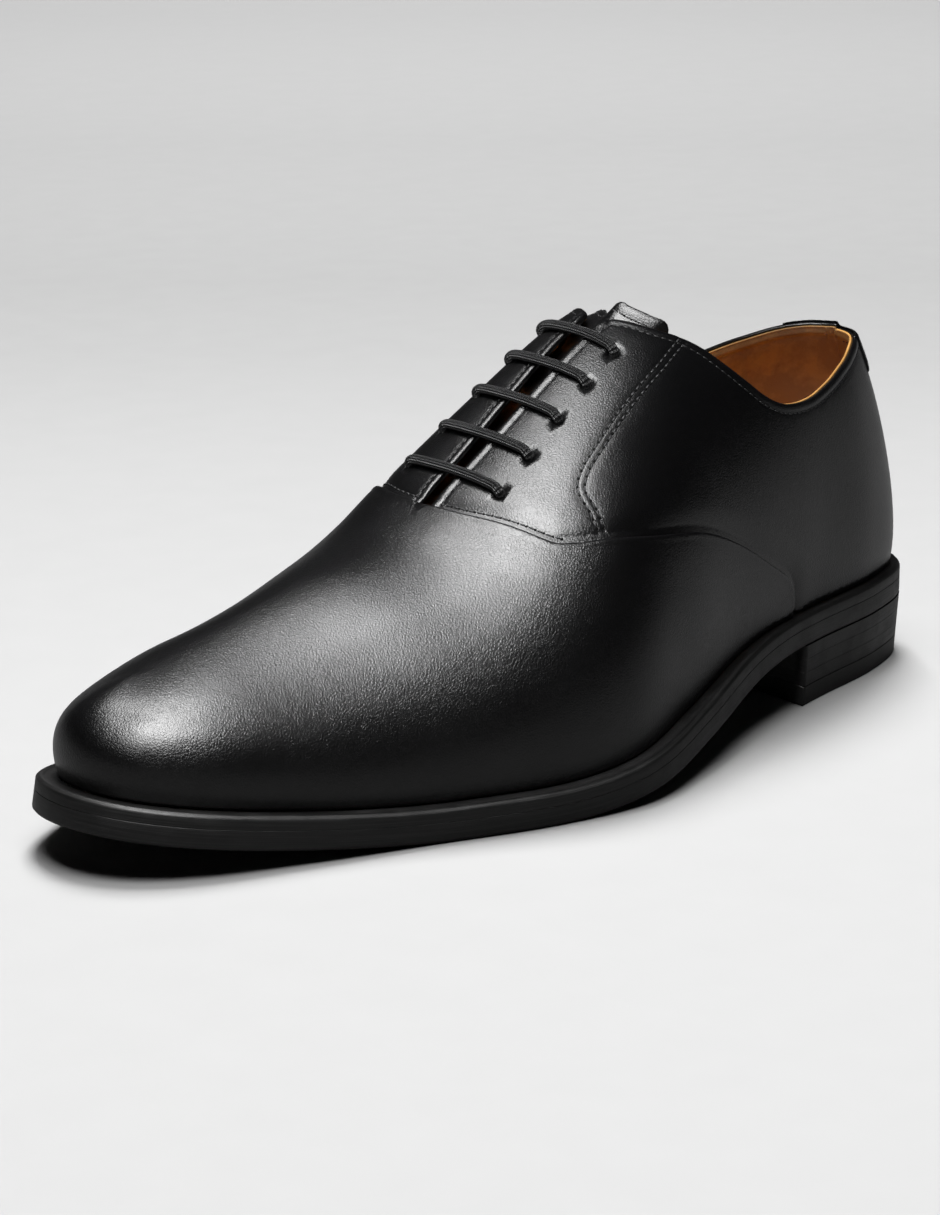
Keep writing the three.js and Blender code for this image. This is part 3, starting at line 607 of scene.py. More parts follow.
# ---------------------------------------------------------------- heel
# Three leather lifts glued and nailed under the heel seat, with a black rubber top piece
# on the ground. The sides are trimmed and inked as one face; the front is cut straight.
rubber, tree, shader, place = finish("top_piece_rubber", (0.008, 0.008, 0.008), 0.52, 0.35)
rub = use(tree, hairs, {"Position": place, "Stretch": (1, 1, 1), "Scale": 1.4, "Sparseness": 0.5})
dye(tree, shader, rub["Mask"], (0.007, 0.007, 0.007), (0.012, 0.012, 0.0115))
bump(tree, shader, rub["Mask"], 0.2, 0.0001)

heel_around = 90


def heel_ring(inset, z):
    """A ring of the heel block: round the back, then straight across the front."""
    draw = 1.2 * (1 - z / heel_height) + inset
    start, _end, outer, inner = sides(draw)
    front = heel_breast - inset
    x = start + (front - start) * (1 - np.cos(np.pi * np.linspace(0, 1, heel_around + 1) / 2))
    outline = [(a, outer(a)) for a in x] + [(a, inner(a)) for a in x[:0:-1]]
    across = 14
    for k in range(1, across):
        y = outer(front) + (inner(front) - outer(front)) * k / across
        outline.insert(heel_around + k, (front - 1.6 * math.sin(math.pi * k / across), y))
    return np.array([(a, b, z) for a, b in outline])


def heel_block(name, low, high, node_name, material, rim=0.04):
    middle = [(0, low + rim), (0, low + rim + 0.08), (0, high - rim - 0.08), (0, high - rim)]
    profile = [(8, low), (1, low), (rim, low), *middle, (rim, high), (1, high), (8, high)]
    rings = [heel_ring(*p) for p in profile]
    count = len(rings[0])
    faces = strips(rings, count)
    faces.append(tuple(range(count))[::-1])
    faces.append(tuple(range((len(rings) - 1) * count, len(rings) * count)))
    block = mesh_piece(name, np.vstack(rings), [f[::-1] for f in faces], material)
    mark_height(block, np.vstack(rings)[:, 2])
    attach(block, "shoe")
    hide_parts(node_name)
    return block


top_piece_height = 6.0
lift_count = 3
lift = (heel_height - top_piece_height) / lift_count
glue = 0.01
heel_block("heel_top_piece", 0, top_piece_height - 2 * glue, "top_piece", rubber, rim=0.3)
for k in range(lift_count):
    low = top_piece_height + k * lift
    heel_block(f"heel_lift_leather_{k + 1}", low + glue, low + lift - glue, f"heel_lift_{k + 1}", edge_black)

# ---------------------------------------------------------------- panels of the upper
# Each leather is cut flat and pulled over the last. A panel is filled between its cut
# edges with rows that follow them, so that folded and rounded edges keep their form.
def inside(points, outline):
    """Which points lie inside a closed outline."""
    result = np.zeros(len(points), bool)
    x, y = points.T
    for (x0, y0), (x1, y1) in zip(outline, np.roll(outline, -1, 0)):
        if y0 == y1:
            continue
        crosses = (y0 > y) != (y1 > y)
        result ^= crosses & (x < (x1 - x0) * (y - y0) / (y1 - y0) + x0)
    return result


row_scale = np.array([1.0, 1.25])


def triangulated(outline, rows, spacing, holes=()):
    """Chart triangles inside an outline, with rows of points kept beside its cut edges."""
    low, high = outline.min(0), outline.max(0)
    u = np.arange(low[0], high[0], spacing)
    q = np.arange(low[1], high[1], spacing / row_scale[1])
    grid = np.stack(np.meshgrid(u, q, indexing="ij"), -1)
    grid[::2, :, 1] += spacing / row_scale[1] / 2
    grid = grid.reshape(-1, 2)
    grid = grid[inside(grid, outline)]
    kept = np.vstack([outline, *rows, *holes]) if len(rows) + len(holes) else outline
    near = np.zeros(len(grid), bool)
    cell = spacing * 0.75
    buckets = {}
    for p in kept * row_scale:
        buckets.setdefault((int(p[0] // cell), int(p[1] // cell)), []).append(p)
    for n, p in enumerate(grid * row_scale):
        a, b = int(p[0] // cell), int(p[1] // cell)
        for da in (-1, 0, 1):
            for db in (-1, 0, 1):
                for other in buckets.get((a + da, b + db), ()):
                    if (p[0] - other[0])**2 + (p[1] - other[1])**2 < cell * cell:
                        near[n] = True
    grid = grid[~near]
    rows_in = [r[inside(r, outline)] for r in rows]
    points = np.vstack([outline, *rows_in, *holes, grid])
    edges = [(i, (i + 1) % len(outline)) for i in range(len(outline))]
    start = len(outline) + sum(len(r) for r in rows_in)
    for hole in holes:
        edges += [(start + i, start + (i + 1) % len(hole)) for i in range(len(hole))]
        start += len(hole)
    verts, _e, tris, *_ = delaunay_2d_cdt([Vector(p * row_scale) for p in points], edges, [], 1, 1e-6)
    verts = np.array([tuple(v) for v in verts]) / row_scale
    tris = np.array([t for t in tris if len(t) == 3])
    middle = verts[tris].mean(1)
    keep = np.ones(len(tris), bool)
    for hole in holes:
        keep &= ~inside(middle, hole)
    return verts, tris[keep]


toe_pole = on_chart([[across_columns, 0]])
toe_even_radius = 24.0
toe_even_passes = 160


def evened_toe(points, normals, tris):
    """Points and normals smoothed about the place where the ribs close up at the toe."""
    near = 1 - ease(np.linalg.norm(points - toe_pole, axis=1) / toe_even_radius)
    if not near.any():
        return points, normals
    pairs = np.vstack([tris[:, [0, 1]], tris[:, [1, 2]], tris[:, [2, 0]]])
    pairs = np.vstack([pairs, pairs[:, ::-1]])
    pairs = pairs[near[pairs[:, 0]] > 0]
    reach = np.maximum(np.bincount(pairs[:, 0], minlength=len(points)), 1)[:, None]
    points = points.copy()
    for _ in range(toe_even_passes):
        total = [np.bincount(pairs[:, 0], points[pairs[:, 1], k], len(points)) for k in range(3)]
        middle = np.stack(total, 1) / reach
        points = np.where(reach > 1, points + 0.6 * near[:, None] * (middle - points), points)
    facing = np.zeros_like(points)
    a, b, c = (points[tris[:, k]] for k in range(3))
    for k in range(3):
        np.add.at(facing, tris[:, k], np.cross(b - a, c - a))
    share = np.minimum(near * 3, 1)[:, None] * (np.linalg.norm(facing, axis=1) > 1e-9)[:, None]
    return points, unit(normals * (1 - share) + unit(facing) * share)


def panel(name, outline, rows, material, top, bottom, spacing=1.4, holes=()):
    """A closed leather panel: top and bottom heights over the last, walls at its edges."""
    places, tris = triangulated(outline, rows, spacing, holes)
    base, normal = on_chart(places), slopes(places)[2]
    count = len(places)
    # the two edges of the chart that meet at the toe become one
    same, alias = {}, np.arange(count)
    for i in np.flatnonzero(places[:, 0] > across_columns - 1e-4):
        alias[i] = same.setdefault(round(abs(places[i, 1]), 3), i)
    tris = alias[tris]
    # chart triangles turn over where the chart does, so faces are set by the normal
    a, b, c = (base[tris[:, k]] for k in range(3))
    flips = (np.cross(b - a, c - a) * normal[tris[:, 0]]).sum(1) < 0
    tris[flips] = tris[flips][:, ::-1]
    base, normal = evened_toe(base, normal, tris)
    upper = base + normal * top(base)[:, None]
    lower = base + normal * bottom(base)[:, None]
    used = {}
    for t in tris:
        for k in range(3):
            used[(t[k], t[(k + 1) % 3])] = used.get((t[k], t[(k + 1) % 3]), 0) + 1
    rim = [(i, j) for (i, j) in used if (j, i) not in used]
    faces = [tuple(t) for t in tris] + [tuple(t[::-1] + count) for t in tris]
    faces += [(j, i, i + count, j + count) for i, j in rim]
    return mesh_piece(name, np.vstack([upper, lower]), faces, material)


black_calf, tree, shader, place = finish("black_calf", (0.003, 0.003, 0.0033), 0.36, 0.4, 0.12, 0.2)
pebble = use(tree, grain, {"Position": place, "Pebble size mm": 0.75, "Crease depth": 1.0, "Patchiness": 0.3})
scratch = use(tree, hairs, {"Position": place, "Stretch": (0.12, 0.5, 1.2), "Scale": 0.35, "Sparseness": 0.7})
dye(tree, shader, pebble["Patch"], (0.0026, 0.0026, 0.003), (0.0042, 0.004, 0.0044))
scratched = spread(tree, scratch["Mask"], 0.0, 0.03)
rough = maths(tree, "SUBTRACT", spread(tree, pebble["Patch"], 0.32, 0.28), scratched)
tree.links.new(rough, shader.inputs["Roughness"])
bump(tree, shader, pebble["Height"], 0.4, 0.0002)

leather = 1.2
seam_step = 1.1
fold_rows = [0.12, 0.3, 0.55, 0.9, 1.4, 2.0, 2.6, 3.2, 4.0]

# cut lines on the outer side; the inner side takes their mirror image
vamp_line = [
    (185.2, 0, 77.0), (184.6, 2.8, 76.3), (182.5, 16.9, 76.2), (174.1, 37.5, 72.1), (167.3, 41.9, 69.3),
    (160.2, 43.9, 68.6), (142.8, 45.7, 66.4), (122, 43.4, 63.2), (103.3, 40.6, 55.6), (88, 37.7, 46.7),
    (76.7, 34.7, 39.2), (73.7, 33.7, 32.4), (73.8, 33.4, 27.5),
]
topline = [
    (121.5, 3.6, 115.2), (118.6, 4.6, 116.0), (116.6, 7.4, 115.4), (112, 13.3, 112.5), (105.5, 17, 109.3),
    (100.1, 20.4, 106.2), (94.7, 24.2, 101.8), (88.9, 27.4, 97.1), (82, 29.7, 92), (73.5, 30.1, 88.8),
    (61.7, 28.2, 88.3),
    (50.4, 24.6, 90.4), (38.2, 19.2, 93.4), (27, 12.5, 96.2), (19.5, 5, 97.2), (16.6, -3.5, 97.3),
]
facing_x = np.array([184.0, 160, 140, 121.5])
facing_half = np.array([2.1, 2.6, 3.1, 3.6])


def mirrored(points, lift_by=0.0):
    out = np.array(points, float)
    out[:, 1] = -out[:, 1] - 2 * 3.96 * ease((110 - out[:, 0]) / 90)
    out[:, 2] += lift_by * ease((110 - out[:, 0]) / 60)
    return out


def cut(points, side, count=500):
    """A cut line through points on one side of the last, in chart places."""
    places = chart_of(points, side)
    if abs(points[0][1]) < 0.01:
        places[0, 1] = 0.0
    return smooth_line(places, count)


vamp_cut = {1: cut(vamp_line, 1), -1: cut(mirrored(vamp_line), -1)}
top_cut = {1: cut(topline, 1), -1: cut(mirrored(topline, 1.6), -1)}
for side in (1, -1):
    top_cut[side][-1, 0] = 0.0


def to_the_welt(line, side):
    """Ends a cut line exactly on the welt row."""
    line = line.copy()
    kept = line[np.abs(line[:, 1]) < down_rows - 0.5]
    return np.vstack([kept, [kept[-1, 0] + 0.02, side * down_rows]])


vamp_cut = {side: to_the_welt(line, side) for side, line in vamp_cut.items()}
vamp_edge = {side: on_chart(spaced(line, 1.5)) for side, line in vamp_cut.items()}
both_vamp_edges = np.vstack([vamp_edge[-1][::-1], vamp_edge[1]])


def rounded(distance, radius):
    """Drop of an edge rounded to a radius."""
    d = np.clip(distance, 0, radius)
    return radius - np.sqrt(np.maximum(radius**2 - (radius - d)**2, 0))


# ---------------------------------------------------------------- vamp
# One piece of black calf over the whole forepart, with a plain toe. Its top edge is
# skived, folded and laid over the quarters, so it stands a little proud of them.
vamp_lift = 0.6


def vamp_top(points):
    d = distance_to(points, both_vamp_edges)
    fold = 0.12 * np.exp(-((d - 0.9) / 0.7)**2)
    return vamp_lift * (1 - ease(d / 16)) + fold - rounded(d, 0.55)


def vamp_bottom(points):
    d = distance_to(points, both_vamp_edges)
    return -leather + (leather - 0.5) * (1 - ease((d - 1.5) / 5))


seam = {side: spaced(vamp_cut[side], seam_step) for side in (1, -1)}
toe_rows = np.linspace(-down_rows, down_rows, 121)
toe_edge = np.stack([np.full(121, float(across_columns)), toe_rows], 1)


def welt_line(from_u, to_u, side, below=0.0, step=1.0):
    """Places along the welt row of one side."""
    line = np.stack([np.linspace(from_u, to_u, 400), np.full(400, side * (down_rows + below))], 1)
    return spaced(line, step)


lateral_foot = welt_line(seam[1][-1, 0], across_columns, 1)
medial_foot = welt_line(across_columns, seam[-1][-1, 0], -1)
vamp_outline = np.vstack([
    seam[1][:-1], lateral_foot[:-1], toe_edge[::-1][:-1], medial_foot[:-1], seam[-1][::-1][:-1],
])
vamp_rows = [beside(seam[side], side * d)[2:-2] for side in (1, -1) for d in fold_rows]
vamp = panel("vamp_leather", vamp_outline, vamp_rows, black_calf, vamp_top, vamp_bottom)
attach(vamp, "shoe")
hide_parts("vamp")

# ---------------------------------------------------------------- quarters
# The two black calf sides, with the lacing facings. The facing and topline edges are
# folded over a tape, which leaves a rounded margin outside the row of stitches.
def facing_line(side):
    """Edge of the lacing gap from the vamp seam up to the topline corner."""
    xs = np.linspace(facing_x[0], facing_x[-1], 60)
    half = np.interp(-xs, -facing_x, facing_half)
    crest = through(crest_height)(xs / shoe_length)
    return chart_of(np.stack([xs, side * half, crest], 1), side)


facing_edge, top_edge = {}, {}
for side in (1, -1):
    facing = facing_line(side)
    top = top_cut[side]
    join = np.vstack([facing[:-3], top[0:1]])
    facing = spaced(smooth_line(join, 300), 1.0)
    top = spaced(top, 1.0)
    facing_edge[side], top_edge[side] = facing, top


def quarter_top(side):
    edge_top, edge_facing = on_chart(top_edge[side]), on_chart(facing_edge[side])

    def height(points):
        d_top, d_face = distance_to(points, edge_top), distance_to(points, edge_facing)
        d_vamp = distance_to(points, vamp_edge[side])
        margin_face = 0.32 * np.sin(np.pi * np.clip(d_face / 2.5, 0, 1)) ** 0.8 * (d_face < 2.5)
        groove_face = -0.22 * np.exp(-((d_face - 2.7) / 0.45)**2)
        margin_top = 0.2 * np.sin(np.pi * np.clip(d_top / 2.6, 0, 1)) * (d_top < 2.6)
        groove_top = -0.14 * np.exp(-((d_top - 2.8) / 0.45)**2)
        under_vamp = -0.75 * (1 - ease((d_vamp - 0.6) / 7))
        groove_vamp = -0.15 * np.exp(-((d_vamp - 2.0) / 0.5)**2)
        row_a, row_b, ridge = (distance_to(points, line) for line in double_rows[side])
        row = np.minimum(row_a, row_b)
        groove_row = -0.16 * np.exp(-(row / 0.5)**2) + 0.06 * np.exp(-(ridge / 0.5)**2)
        edge = rounded(np.minimum(d_top, d_face), 0.5)
        folds = margin_face + groove_face + margin_top + groove_top
        return folds + under_vamp + groove_vamp + groove_row - edge

    return height


# the reinforcement row: two lines of stitches from the topline down to the vamp
double_line = [
    (105.2, 18, 108.3), (116.4, 21.6, 103.9), (126.1, 24.5, 100.1), (136.5, 28, 96.2), (147.4, 31.2, 90.6),
    (154.5, 33.2, 86.4), (158.4, 35.6, 81.8), (158.3, 39.7, 76.1), (158.5, 43.2, 70.4),
]
double_gap = 1.9
double_cut = {1: cut(double_line, 1), -1: cut(mirrored(double_line), -1)}
double_rows, double_stitch = {}, {}
for side in (1, -1):
    middle = spaced(double_cut[side], 1.0)
    pair = [beside(middle, double_gap / 2), beside(middle, -double_gap / 2)]
    double_stitch[side] = pair
    double_rows[side] = [on_chart(pair[0]), on_chart(pair[1]), on_chart(middle)]

eyelet_x = [172.3, 160.9, 149.45, 138.0, 126.6]


def reach_at(x, side, reach):
    """Chart place at an x and a distance down the leather from the crest."""
    q = side * 20.0
    for _ in range(6):
        us = np.linspace(20, across_columns - 10, 500)
        xs = on_chart(np.stack([us, np.full(500, q)], 1))[:, 0]
        u = np.interp(x, xs, us)
        line = on_chart(np.stack([np.full(81, u), np.linspace(0, side * 80, 81)], 1))
        run = np.concatenate([[0], np.cumsum(np.linalg.norm(np.diff(line, axis=0), axis=1))])
        q = side * np.interp(reach, run, np.arange(81))
    return np.array([u, q])


eyelet_reach = [18.5, 17.6, 16.75, 15.9, 15.0]
eyelet_place = {side: [reach_at(x, side, r) for x, r in zip(eyelet_x, eyelet_reach)] for side in (1, -1)}


def ring_at(place, radius, count=20):
    """A circle on the surface round a chart place."""
    angle = np.linspace(0, 2 * np.pi, count, endpoint=False)
    centre = np.repeat(place[None], count, 0)
    along, down, _n = slopes(centre)
    first = unit(along)
    second = unit(down - (down * first).sum(1)[:, None] * first)
    return moved_by(centre, (first * np.cos(angle)[:, None] + second * np.sin(angle)[:, None]) * radius)


hole_radius = 1.35
quarter_height = {1: quarter_top(1), -1: quarter_top(-1)}
for side in (1, -1):
    under = beside(seam[side], side * 1.0)
    under = under[np.abs(under[:, 1]) > 0.2]
    facing, top = facing_edge[side], top_edge[side]
    cut_in = under[np.abs(under[:, 1]) > np.abs(facing[0, 1]) + 0.05]
    cut_in = cut_in[np.abs(cut_in[:, 1]) < down_rows - 0.6]
    foot = welt_line(cut_in[-1, 0], 0.0, side)
    back = np.stack([np.zeros(90), np.linspace(side * down_rows, top[-1, 1], 90)], 1)
    facing = np.vstack([cut_in[0:1], facing[1:]])
    outline = np.vstack([cut_in[:-1], foot[:-1], back[:-1], top[::-1][:-1], facing[::-1][:-1]])
    rows = [beside(top, side * d) for d in fold_rows]
    rows += [beside(facing_edge[side], side * d)[1:] for d in fold_rows]
    rows += [beside(seam[side], -side * d) for d in (0.3, 0.9, 1.5, 2.0, 2.5, 3.2, 4.4, 6)]
    for line in double_stitch[side]:
        rows += [line, beside(line, 0.45), beside(line, -0.45)]
    holes = [ring_at(p, hole_radius) for p in eyelet_place[side]]
    name = "lateral" if side == 1 else "medial"
    quarter = panel(f"quarter_{name}_leather", outline, rows, black_calf, quarter_height[side],
                    lambda points: np.full(len(points), -leather - 0.1), holes=holes)
    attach(quarter, "shoe")
    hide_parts(f"quarter_{name}")

# ---------------------------------------------------------------- quarter linings
# Tan calf lining, closed to the quarters along the topline with one row of stitches.
# Its rolled top edge shows as a light bead; the face inside is matt and a little worn.
tan, tree, shader, place = finish("tan_lining", (0.42, 0.19, 0.07), 0.62, 0.3)
nap = use(tree, grain, {"Position": place, "Pebble size mm": 1.2, "Crease depth": 0.6, "Patchiness": 0.2})
mottle = use(tree, hairs, {"Position": place, "Scale": 0.09, "Sparseness": 0.36})
dye(tree, shader, mottle["Mask"], (0.64, 0.34, 0.1), (0.47, 0.235, 0.065))
tree.links.new(spread(tree, nap["Patch"], 0.55, 0.7), shader.inputs["Roughness"])
bump(tree, shader, nap["Height"], 0.3, 0.0003)

lining_drop = {1: -0.2, -1: 0.55}
lining_depth = 1.35
for side in (1, -1):
    edge_top = beside(top_edge[side], side * lining_drop[side])
    edge_line = on_chart(edge_top)
    facing_in = beside(facing_edge[side], side * 3.0)
    start_u = facing_in[0, 0]
    foot = welt_line(start_u, 0.0, side)
    back = np.stack([np.zeros(90), np.linspace(side * down_rows, edge_top[-1, 1], 90)], 1)
    edge_top = edge_top[edge_top[:, 0] < facing_in[-1, 0] - 0.4]
    down_front = np.stack([np.full(60, start_u), np.linspace(facing_in[0, 1], side * down_rows, 60)], 1)
    outline = [down_front[:-1], foot[:-1], back[:-1], edge_top[::-1][:-1], facing_in[::-1][:-1]]
    rows = [beside(top_edge[side], side * d) for d in (0.15, 0.35, 0.6, 0.9, 1.3, 2.0, 2.6, 3.0, 3.4, 4.0)]

    def lining_outer(points):
        return np.full(len(points), -lining_depth)

    def lining_inner(points, line=edge_line):
        d = distance_to(points, line)
        stiff = ease((95 - points[:, 0]) / 25) * ease((84 - points[:, 2]) / 14)
        bead = 0.8 * (1 - ease(d / 2.2))
        groove = 0.35 * np.exp(-((d - 2.9) / 0.5)**2)
        return -2.75 - 1.3 * stiff + bead + groove

    name = "lateral" if side == 1 else "medial"
    lining = panel(f"quarter_lining_{name}_leather", np.vstack(outline), rows, tan,
                   lining_outer, lining_inner, spacing=2.0)
    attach(lining, "shoe")
    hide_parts(f"quarter_lining_{name}")

# ---------------------------------------------------------------- sock lining
# A thin tan leather sock glued over the insole, seen down inside the heel.
# inside the edge of the sole by the leather, the counter, the lining and their clearances
upper_depth = 1.3 + 0.6 + 1 + 0.3 + 1.2


def sock_inset(x):
    return reveal(x) + upper_depth + 0.6


sock_profile = [
    (lambda x: sock_inset(x) + 1, 12.8), (sock_inset, 13.0), (sock_inset, 13.6),
    (lambda x: sock_inset(x) + 0.5, 13.85),
]
sock = sole_layer("sock_leather", sock_profile, tan)
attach(sock, "shoe")
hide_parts("sock_lining")

# ---------------------------------------------------------------- back tab
# A folded strip of black calf over the top of the heel seam, stitched down on both sides.
tab_half = 13.0
tab_middle = -3.96


def column_at(y, side):
    """Column of the topline at a given y."""
    pts = on_chart(top_edge[side])
    near = pts[:, 0] < 60
    order = np.argsort(pts[near, 1])
    return float(np.interp(y, pts[near, 1][order], top_edge[side][near, 0][order]))


u_lateral, u_medial = column_at(tab_middle + tab_half, 1), column_at(tab_middle - tab_half, -1)
heel_columns = np.concatenate([-np.linspace(u_medial, 0, 24)[:-1], np.linspace(0, u_lateral, 24)])


def topline_row(u):
    side = 1 if u >= 0 else -1
    order = np.argsort(top_edge[side][:, 0])
    return abs(float(np.interp(abs(u), top_edge[side][order, 0], top_edge[side][order, 1])))


tab_top = np.array([[u, topline_row(u) - 0.3] for u in heel_columns])
span_down = 10.5
tab_bottom = np.array([
    [u, topline_row(u) + span_down * (1 - 0.12 * (abs(u) / u_lateral)**2)] for u in heel_columns])
tab_left = np.linspace(tab_top[0], tab_bottom[0], 16)
tab_right = np.linspace(tab_bottom[-1], tab_top[-1], 16)
tab_outline = np.vstack([tab_left[:-1], tab_bottom[:-1], tab_right[:-1], tab_top[::-1][:-1]])
tab_cut = on_chart(np.vstack([tab_left, tab_bottom, tab_right]))
tab_top_line = on_chart(tab_top)


def tab_height(points):
    d, over = distance_to(points, tab_cut), distance_to(points, tab_top_line)
    groove = 0.12 * np.exp(-((d - 2.0) / 0.4)**2)
    return 0.85 - 0.35 * (1 - ease(d / 2.2)) - rounded(d, 0.4) - rounded(over, 0.9) - groove


tab_rows = [np.array([[u, topline_row(u) + k] for u in heel_columns[1:-1]]) for k in (0.0, 0.4, 0.8, 1.4)]
tab_rows += [tab_bottom[1:-1] - [0, k] for k in (0.3, 0.8, 1.6, 2.2)]
tab = panel("back_tab_leather", tab_outline, tab_rows, black_calf, tab_height,
            lambda points: np.full(len(points), 0.05), spacing=0.9)
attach(tab, "shoe")
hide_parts("back_tab")

# ---------------------------------------------------------------- tongue
# Black calf over a thin tan lining, sewn in under the vamp. It swells up a little between
# the facings, creases there under the lace, and stands out above them.
medial_share = 0.74


def tongue_lift(points):
    share = points[:, 0] / shoe_length
    root = ease((share - 0.6) / 0.04)
    tip = ease((0.42 - share) / 0.035)
    y = np.where(points[:, 1] > 0, points[:, 1], -points[:, 1] / medial_share)
    edge_x = np.interp(y, [3.6, 4.6, 7.4, 13.3, 17], [119.5, 118.6, 116.6, 112, 105.5])
    standing = np.clip(edge_x - points[:, 0], 0, 8) * ease((points[:, 1] + 4) / 7)
    depth = 6.0 - 2.9 * root - 2.9 * tip - 0.7 * standing
    swell = 2.6 * np.exp(-(points[:, 1] / 4.5)**2) * (1 - tip) * (1 - root)
    wrinkle = 0.22 * np.sin(points[:, 0] * 0.9 + 1.5 * np.sin(points[:, 1] * 0.5))
    wrinkle *= np.exp(-(points[:, 1] / 5)**2)
    return -depth + swell + wrinkle * (1 - root) * (1 - tip)


tongue_points = [
    (112.6, 0.0), (111.6, 5.5), (108.6, 11.5), (105.6, 16.0), (107.5, 18.6), (114, 18.6), (125, 17.6),
    (150, 16.8), (199.5, 17.0),
]


def tongue_outline(inset):
    """The tongue's two edges, drawn in by an inset, and its closed outline."""
    chart = []
    for side, share in ((1, 1.0), (-1, medial_share)):
        half = []
        for x, y in tongue_points:
            x, y = (x + inset if x < 113 else x), max(0.0, y - inset)
            crest = float(through(crest_height)(x / shoe_length))
            half.append(chart_of([(x, side * y * share, crest - 0.012 * (y * share)**2)], side)[0])
        half = np.array(half)
        half[0, 1] = 0.0
        chart.append(spaced(smooth_line(half, 300), 1.2))
    lateral, medial = chart
    root = np.linspace(lateral[-1], medial[-1], 24)
    return lateral, medial, np.vstack([lateral[:-1], root[:-1], medial[::-1][:-1]])


tongue_lateral, tongue_medial, outline = tongue_outline(0)
tongue_cut = on_chart(np.vstack([tongue_medial[::-1], tongue_lateral]))


def tongue_top(points):
    d = distance_to(points, tongue_cut)
    margin = 0.14 * np.sin(np.pi * np.clip(d / 2.4, 0, 1))
    groove = 0.15 * np.exp(-((d - 2.7) / 0.4)**2)
    return tongue_lift(points) - rounded(d, 0.6) + margin - groove


tongue_steps = (0.15, 0.35, 0.6, 1.2, 1.8, 2.4, 2.7, 3.0, 3.6)
rows = [beside(tongue_lateral, d)[1:] for d in tongue_steps]
rows += [beside(tongue_medial, -d)[1:] for d in tongue_steps]
tongue = panel("tongue_leather", outline, rows, black_calf, tongue_top,
               lambda points: tongue_lift(points) - 1.4, spacing=1.1)
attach(tongue, "tongue")
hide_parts("tongue")
back_outline = tongue_outline(1.2)[2]
tongue_back = panel("tongue_lining_leather", back_outline, [], tan, lambda points: tongue_lift(points) - 1.45,
                    lambda points: tongue_lift(points) - 2.2, spacing=2.0)
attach(tongue_back, "tongue")
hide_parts("tongue_lining")

# ---------------------------------------------------------------- lace
# A round waxed cotton lace, 2.8 mm thick: five straight bars over the facings, with the
# runs between them and both ends tucked out of sight underneath.
waxed, tree, shader, place = finish("waxed_cord", (0.012, 0.012, 0.013), 0.42, 0.45)
cord_uv = node(tree, "ShaderNodeUVMap").outputs[0]
split = node(tree, "ShaderNodeSeparateXYZ", {0: cord_uv})
along_cord, round_cord = split.outputs[0], split.outputs[1]
lay_along = maths(tree, "MULTIPLY", along_cord, 4.0)
lay_round = maths(tree, "MULTIPLY", round_cord, 6.0)
strand_a = maths(tree, "SINE", maths(tree, "ADD", lay_along, lay_round))
strand_b = maths(tree, "SINE", maths(tree, "SUBTRACT", lay_along, lay_round))
plait = maths(tree, "MULTIPLY", strand_a, strand_b)
plait_mask = maths(tree, "ADD", plait, 0.0, True)
dye(tree, shader, plait_mask, (0.004, 0.004, 0.0045), (0.012, 0.012, 0.013))
tree.links.new(spread(tree, plait_mask, 0.5, 0.34), shader.inputs["Roughness"])
bump(tree, shader, plait, 1.0, 0.0003)

lace_radius = 1.4
lace_depth = 4.4


def over_leather(place, height):
    place = np.array(place, float).reshape(-1, 2)
    return on_chart(place) + slopes(place)[2] * height


# way of the lace out of a hole: distance down the leather, height over it
hole_steps = ((0, -lace_depth), (0, -1.6), (0.15, -0.3), (-0.05, 0.7), (-0.75, 1.3), (-1.9, 1.45))


def bar(row):
    """Points of one bar, from below the lateral hole to below the medial one."""
    ends = {}
    for side in (1, -1):
        centre = eyelet_place[side][row]
        ends[side] = [over_leather(centre + [0, side * out], height)[0] for out, height in hole_steps]
    first, last = ends[1][-1], ends[-1][-1]
    inner = []
    for t in np.linspace(0, 1, 9)[1:-1]:
        p = first + (last - first) * t
        side = 1 if t < 0.5 else -1
        surface = over_leather(chart_of([p], side), lace_radius + 0.15)[0]
        inner.append(np.array([surface[0], p[1], surface[2]]))
    return ends[1] + inner + ends[-1][::-1]


route = []
route += [over_leather(reach_at(eyelet_x[0] + dx, -1, r), -lace_depth - 0.2)[0]
          for dx, r in ((-40, 32), (-28, 31), (-16, 29), (-7, 25))]
for row in range(5):
    points = bar(row)
    if row % 2 == 0:
        points = points[::-1]
    route += points
route += [over_leather(reach_at(eyelet_x[-1] + dx, 1, r), -lace_depth - 0.4)[0]
          for dx, r in ((7, 22), (16, 28), (28, 30), (40, 31))]


def tube(name, path, radius, material, count=16, step=0.5):
    """A round tube along a smooth path, with UVs in millimetres along and turns round."""
    line = smooth_line(path, 6000)
    run = np.concatenate([[0], np.cumsum(np.linalg.norm(np.diff(line, axis=0), axis=1))])
    even = np.linspace(0, run[-1], int(run[-1] / step) + 2)
    centre = np.stack([np.interp(even, run, line[:, k]) for k in range(3)], 1)
    tangent = unit(np.gradient(centre, axis=0))
    side_way = unit(np.cross(tangent[0], [0.3, 0.2, 1.0]))
    points, uvs = [], []
    for i, (c, t) in enumerate(zip(centre, tangent)):
        side_way = unit(side_way - (side_way @ t) * t)
        other = np.cross(t, side_way)
        for k in range(count + 1):
            angle = 2 * np.pi * k / count
            points.append(c + radius * (np.cos(angle) * side_way + np.sin(angle) * other))
            uvs.append((even[i], angle))
    faces = []
    width = count + 1
    for i in range(len(centre) - 1):
        for k in range(count):
            a = i * width + k
            faces.append((a, a + width, a + width + 1, a + 1)[::-1])
    faces.append(tuple(range(count))[::-1])
    faces.append(tuple((len(centre) - 1) * width + k for k in range(count)))
    return mesh_piece(name, points, faces, material, uvs)


